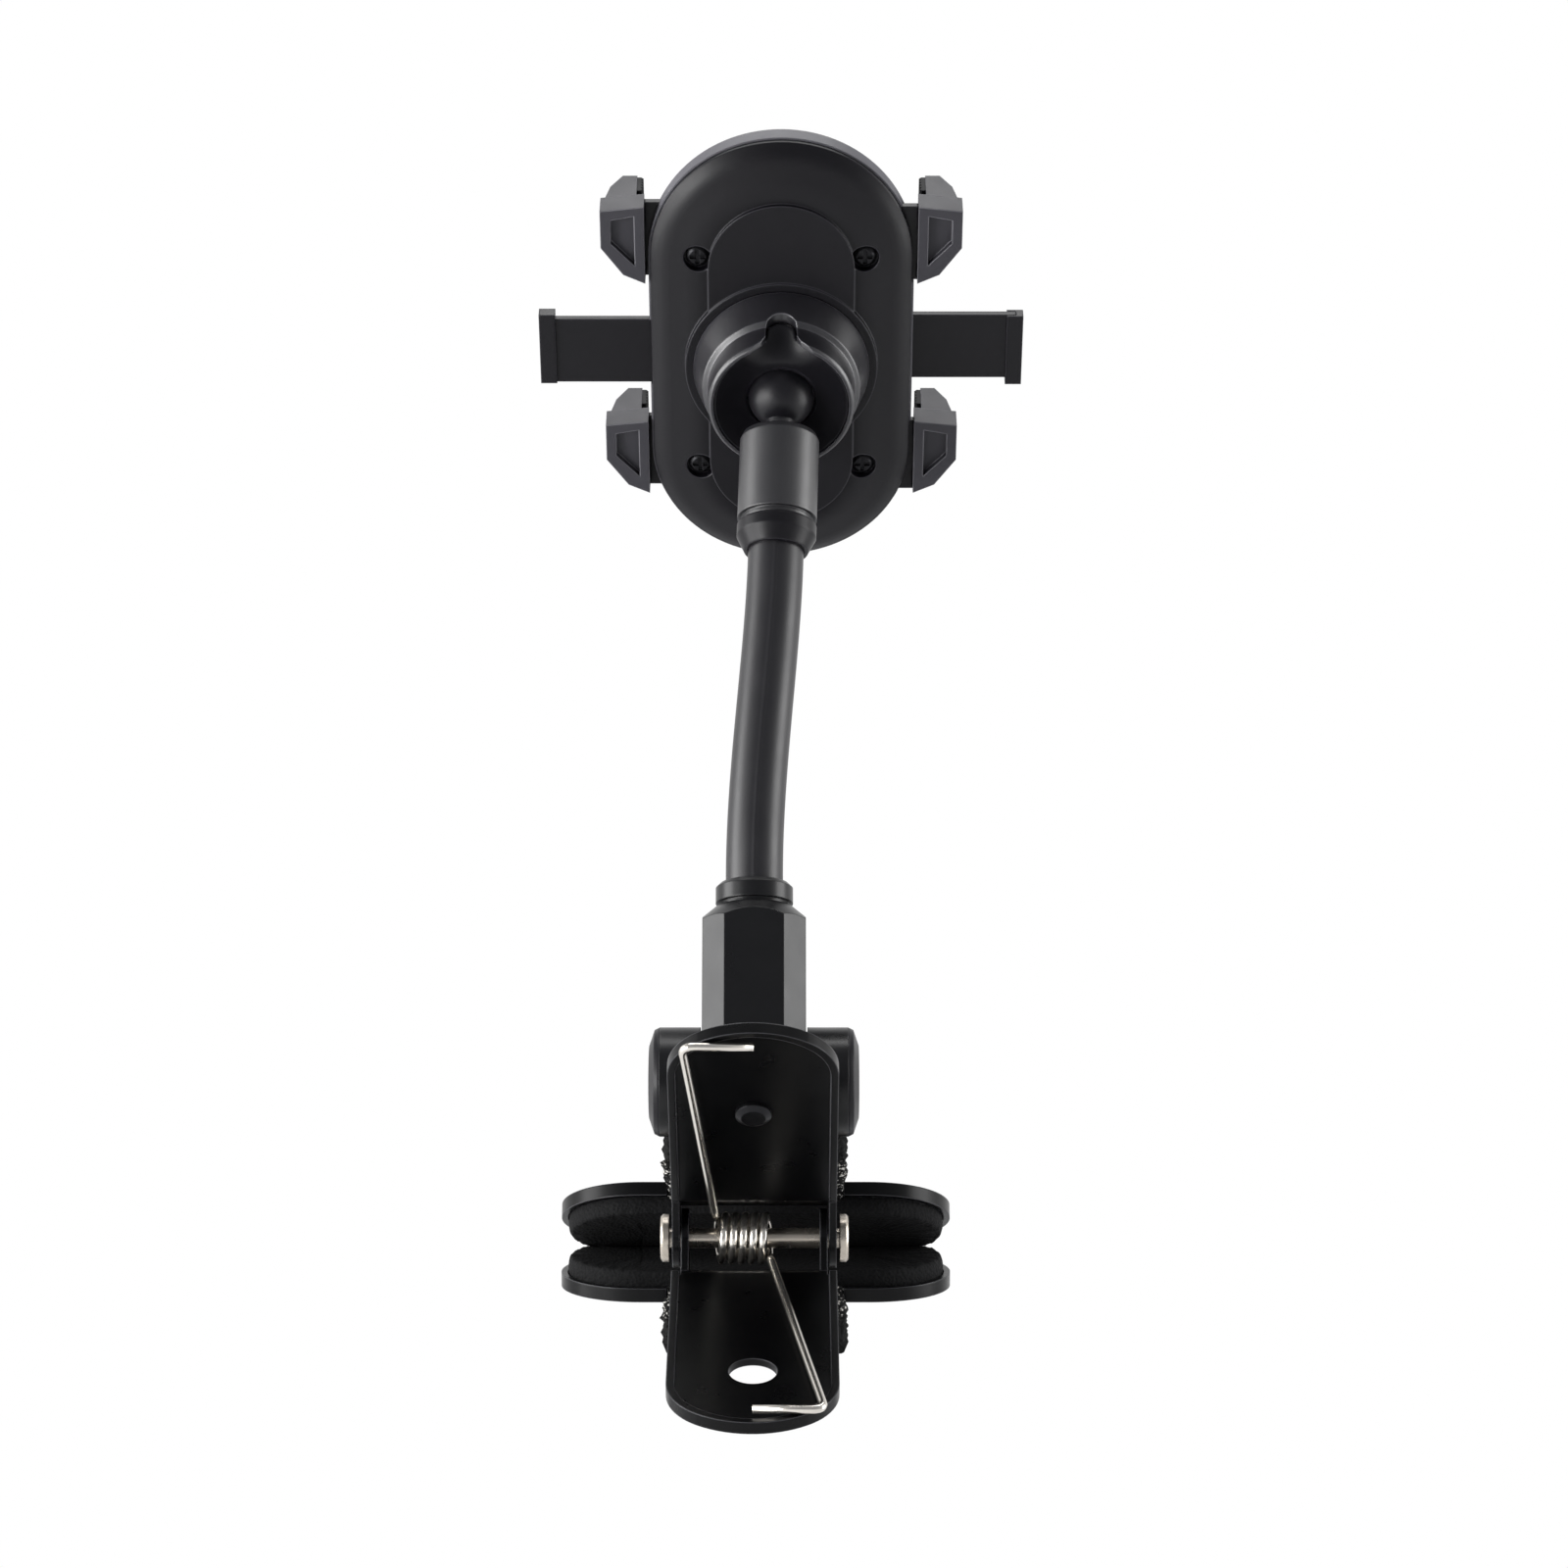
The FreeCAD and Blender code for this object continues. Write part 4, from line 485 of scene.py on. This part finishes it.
def foam_material(name, cell_mm, height_mm, code, with_glints=False):
    """Black foam rubber: cells as relief, with painted shade in the pits; one with glints has painted pale
    glints by the wing.
    """
    made, tree, shader, place = new_material(name)
    size = 1 / (cell_mm * MM)
    smooth = {"feature": "SMOOTH_F1"}
    foam = add_node(tree, "ShaderNodeTexVoronoi", smooth, Vector=place, Scale=size, Smoothness=0.6)
    cells = foam.outputs["Distance"]
    lumps = noise(tree, place, cell_mm * 2.5, 4.0, 0.6)
    base = linear(code)
    # Painted shade: the colour is darkened in the pits between the cells.
    colour = mixed(tree, cells, shaded(base, 0.45), base)
    if with_glints:
        # Painted highlight: pale flecks by the wing stand for glints on the pile.
        up = add_node(tree, "ShaderNodeSeparateXYZ", Vector=place).outputs["Z"]
        near = ramp(tree, reckon(tree, "ABSOLUTE", up), 17 * MM, 15 * MM)
        ends = ramp(tree, noise(tree, place, 0.7, 2.0), 0.57, 0.63)
        colour = mixed(tree, reckon(tree, "MULTIPLY", near, ends), colour, linear("#c9c6c0"))
    tree.links.new(colour, shader.inputs["Base Color"])
    shader.inputs["Roughness"].default_value = 0.85
    shader.inputs["Specular IOR Level"].default_value = 0.15
    height = reckon(tree, "ADD", cells, lumps)
    relief = add_node(tree, "ShaderNodeBump", Height=height, Strength=1.0, Distance=height_mm * MM)
    tree.links.new(relief.outputs[0], shader.inputs["Normal"])
    return made


# Closed-cell black foam rubber of the wings' pads
FOAM = foam_material("black_foam_rubber", 0.7, 0.2, "#111112")
# Black loop pile of the throats, with painted pale glints near its cut edges by the wing
PILE = foam_material("black_loop_pile", 0.9, 0.5, "#151515", with_glints=True)


def racetrack_ring(inset, height, count=160):
    """A ring in the wing's plane: a racetrack drawn in by inset, at a height above the wing's outer face."""
    radius = max(WING_RADIUS - inset, 0.2 * MM)
    quarter = np.linspace(-math.pi / 2, math.pi / 2, count // 2)
    right = np.stack([WING_RUN + radius * np.cos(quarter), radius * np.sin(quarter)], -1)
    flat = np.concatenate([right, -right])
    return WING_ORIGIN + flat[:, :1] * SIDEWAYS + flat[:, 1:] * wing_along + height * wing_out


def wobble(points, size_mm, amount_mm, seed):
    """A sum of six sine waves in drawn directions, about size_mm long, for each point."""
    draw = np.random.default_rng(seed)
    heads = unit(draw.normal(size=(6, 3)))
    waves = heads * (2 * math.pi / (size_mm * MM)) * draw.uniform(0.7, 1.5, (6, 1))
    phase = draw.uniform(0, 2 * math.pi, 6)
    return amount_mm * MM * np.sin(points @ waves.T + phase).mean(-1)


def foam_pad(name, hand):
    """A wing's pad: rings from the glued face round a soft edge to the gripping face; hand -1 mirrors it."""
    thick = FOAM_TOP - FOAM_LOW
    rings = [racetrack_ring(inset, FOAM_TOP) for inset in FOAM_RINGS]
    for angle in np.linspace(0, math.pi, 13):
        drawn = FOAM_INSET + FOAM_EDGE * (1 - math.sin(angle))
        rings.append(racetrack_ring(drawn, FOAM_LOW + thick * (1 + math.cos(angle)) / 2))
    rings += [racetrack_ring(inset, FOAM_LOW) for inset in FOAM_RINGS[::-1]]
    points = np.stack(rings)
    bumps = wobble(points, 3.0, 0.25, 11) + wobble(points, 1.2, 0.2, 12)
    side = np.clip((points - WING_ORIGIN) @ wing_out / FOAM_LOW, 0, 1)
    points = points - bumps[..., None] * wing_out * side[..., None]
    points[..., 2] = np.maximum(points[..., 2], FOAM_MEET) * hand
    return grid_object(name, points, FOAM)


for name, hand, node, body in (
    ("upper_foam_pad", 1, "upper_jaw_foam", "clip_upper"),
    ("lower_foam_pad", -1, "lower_jaw_foam", "clip_lower"),
):
    pad = foam_pad(name, hand)
    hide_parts(node)
    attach(pad, body)
    print(name, "faces", len(pad.data.polygons))

# %% [markdown]
# A strip of black loop pile lines each throat and laps round the sheet's two edges, so that the
# strings' heads are not scratched. Its section is a flat band with a bead at each edge, swept along
# the bent sheet and roughened.

# %% Throat lining
SHEET_HALF, BEAD_OUT = 17.4 * MM, 19.6 * MM
BAND_TOP, BAND_LOW = -0.86 * MM, -3.0 * MM
BEAD_TOP, BEAD_LOW = 1.5 * MM, -3.3 * MM
ROUGH_START, ROUGH_UP = 0.6 * MM, 0.7
CREST_MM = 20.8
THROAT_LINE = np.array([[0, 10.6, 13.65], [0, 15, CREST_MM], [0, 20, CREST_MM], [0, 27.6, 11.4]]) * MM


def band_section(count=60):
    """The band's section, across and up: flat between the sheet's edges, an elliptic bead outside each."""
    across = np.linspace(-1, 1, count) * BEAD_OUT
    beyond = np.clip((np.abs(across) - SHEET_HALF) / (BEAD_OUT - SHEET_HALF), 0, 1)
    lap = np.clip(beyond * 6, 0, 1)
    fall = np.sqrt(np.clip(1 - np.clip(beyond * 1.6 - 0.6, 0, 1) ** 2, 0, 1))
    middle = (BEAD_TOP + BEAD_LOW) / 2
    top = BAND_TOP + (middle + (BEAD_TOP - middle) * fall - BAND_TOP) * lap
    low = BAND_LOW + (middle + (BEAD_LOW - middle) * fall - BAND_LOW) * lap
    over = np.stack([across, top], -1)
    under = np.stack([across, low], -1)[::-1]
    return np.concatenate([over, under[1:-1]])


def throat_lining(name, hand):
    """The section carried along the bent line, each point at line + across X + up N, its beads roughened."""
    line = rounded(THROAT_LINE, 3.0 * MM, 12)
    steps = np.concatenate([[0], np.cumsum(np.linalg.norm(np.diff(line, axis=0), axis=1))])
    even = np.linspace(0, steps[-1], 60)
    line = np.stack([np.interp(even, steps, line[:, axis]) for axis in range(3)], -1)
    heads = unit(np.gradient(line, axis=0))
    normals = np.stack([np.zeros(len(line)), -heads[:, 2], heads[:, 1]], -1)
    section = band_section()
    points = line[:, None, :] + section[None, :, :1] * SIDEWAYS
    points = points + section[None, :, 1:] * normals[:, None, :]
    rough = wobble(points, 1.1, 0.8, 21) + wobble(points, 2.6, 0.4, 22)
    beads = np.clip((np.abs(section[:, 0]) - SHEET_HALF) / ROUGH_START, 0, 1)
    push = np.sign(section[:, :1]) * SIDEWAYS
    points = points + (rough * beads)[..., None] * (push + normals[:, None, :] * ROUGH_UP)
    points = points + PIVOT
    points[..., 2] *= hand
    return grid_object(name, points, PILE)


for name, hand, body in (("upper_throat_lining", 1, "clip_upper"), ("lower_throat_lining", -1, "clip_lower")):
    lining = throat_lining(name, hand)
    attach(lining, body)
print("linings made")

# %% [markdown]
# The stage is a plain studio. A pale floor lies well below the clip and takes its shadow.

# %% Floor
FLOOR_HEIGHT, FLOOR_SIZE = -0.16, 2.4
bpy.ops.mesh.primitive_plane_add(size=FLOOR_SIZE, location=(0, 0, FLOOR_HEIGHT))
floor = bpy.context.object
floor.name = "studio_floor"
# Matte white paint
floor.data.materials.append(moulded("pale_floor", "#f4f4f4", 0.7, 2.0, 0.01, mottle=0.01))
print("floor size m", FLOOR_SIZE)

# %% [markdown]
# The surround is white where the camera looks straight at it. Black gloss shows what it mirrors, so
# for mirrored rays the white fades towards the camera's side and towards straight up and down, as
# in a room with white side walls.

# %% Surround
world = bpy.data.worlds.new("studio")
bpy.context.scene.world = world
world.use_nodes = True
tree = world.node_tree
tree.nodes.clear()
rays = add_node(tree, "ShaderNodeLightPath").outputs
direction = add_node(tree, "ShaderNodeTexCoord").outputs["Generated"]
parts = add_node(tree, "ShaderNodeSeparateXYZ", Vector=direction).outputs
behind = ramp(tree, parts["Y"], -0.9, 0.1, 0.12, 1.0)
level = ramp(tree, reckon(tree, "ABSOLUTE", parts["Z"]), 0.5, 0.9, 1.0, 0.2)
around = reckon(tree, "MULTIPLY", behind, level)
mirrored = reckon(tree, "MULTIPLY", rays["Is Glossy Ray"], around)
plain = reckon(tree, "MAXIMUM", rays["Is Camera Ray"], rays["Is Transmission Ray"])
seen = reckon(tree, "MAXIMUM", plain, mirrored)
white = add_node(tree, "ShaderNodeBackground", Color=(1, 1, 1, 1), Strength=1.0)
dim = add_node(tree, "ShaderNodeBackground", Color=linear("#dfe3ea"), Strength=0.3)
both = add_node(tree, "ShaderNodeMixShader", n0=seen, n1=dim.outputs[0], n2=white.outputs[0])
end = add_node(tree, "ShaderNodeOutputWorld")
tree.links.new(both.outputs[0], end.inputs["Surface"])
print("surround nodes", len(tree.nodes))

# %% [markdown]
# Two tall soft lights at the sides draw the bright edges of the neck and the socket, one from the
# front left gives the cover its soft sheen, and a weak one from above lifts the tops.

# %% Lights
def soft_light(name, place, target, wide, tall, power):
    """A large area light that faces a target."""
    data = bpy.data.lights.new(name, "AREA")
    data.shape = "RECTANGLE"
    data.size = wide
    data.size_y = tall
    data.energy = power
    made = bpy.data.objects.new(name, data)
    bpy.context.scene.collection.objects.link(made)
    toward = np.array(target) - np.array(place)
    made.location = place
    made.rotation_euler = Vector(toward).to_track_quat("-Z", "Y").to_euler()
    print("light", name, power, "W")


MIDDLE = (0, -0.03, 0.1)
soft_light("side_left", (-0.9, -0.12, 0.12), MIDDLE, 0.5, 0.9, 10)
soft_light("side_right", (0.9, -0.1, 0.12), MIDDLE, 0.5, 0.9, 8)
soft_light("front_left", (-0.75, -0.6, 0.0), MIDDLE, 0.4, 0.5, 9)
soft_light("top", (0, 0.05, 0.9), MIDDLE, 0.7, 0.5, 5)

# %% [markdown]
# The camera stands just below the grip's height and looks up a little. Its place and focal length
# were fitted to the outline of the real object.

# %% Camera
HALF_WIDTH, FOCAL = 800, 4286
CAMERA_PITCH = math.radians(90 + 8.2)
camera = bpy.data.cameras.new("photo_camera")
camera.sensor_fit = "HORIZONTAL"
camera.angle = 2 * math.atan(HALF_WIDTH / FOCAL)
eye = bpy.data.objects.new("photo_camera", camera)
bpy.context.scene.collection.objects.link(eye)
eye.location = (6.2 * MM, -930 * MM, -31.5 * MM)
eye.rotation_euler = (CAMERA_PITCH, 0, 0)
bpy.context.scene.camera = eye
bpy.context.scene.view_settings.view_transform = "Standard"
print("camera at", tuple(eye.location))
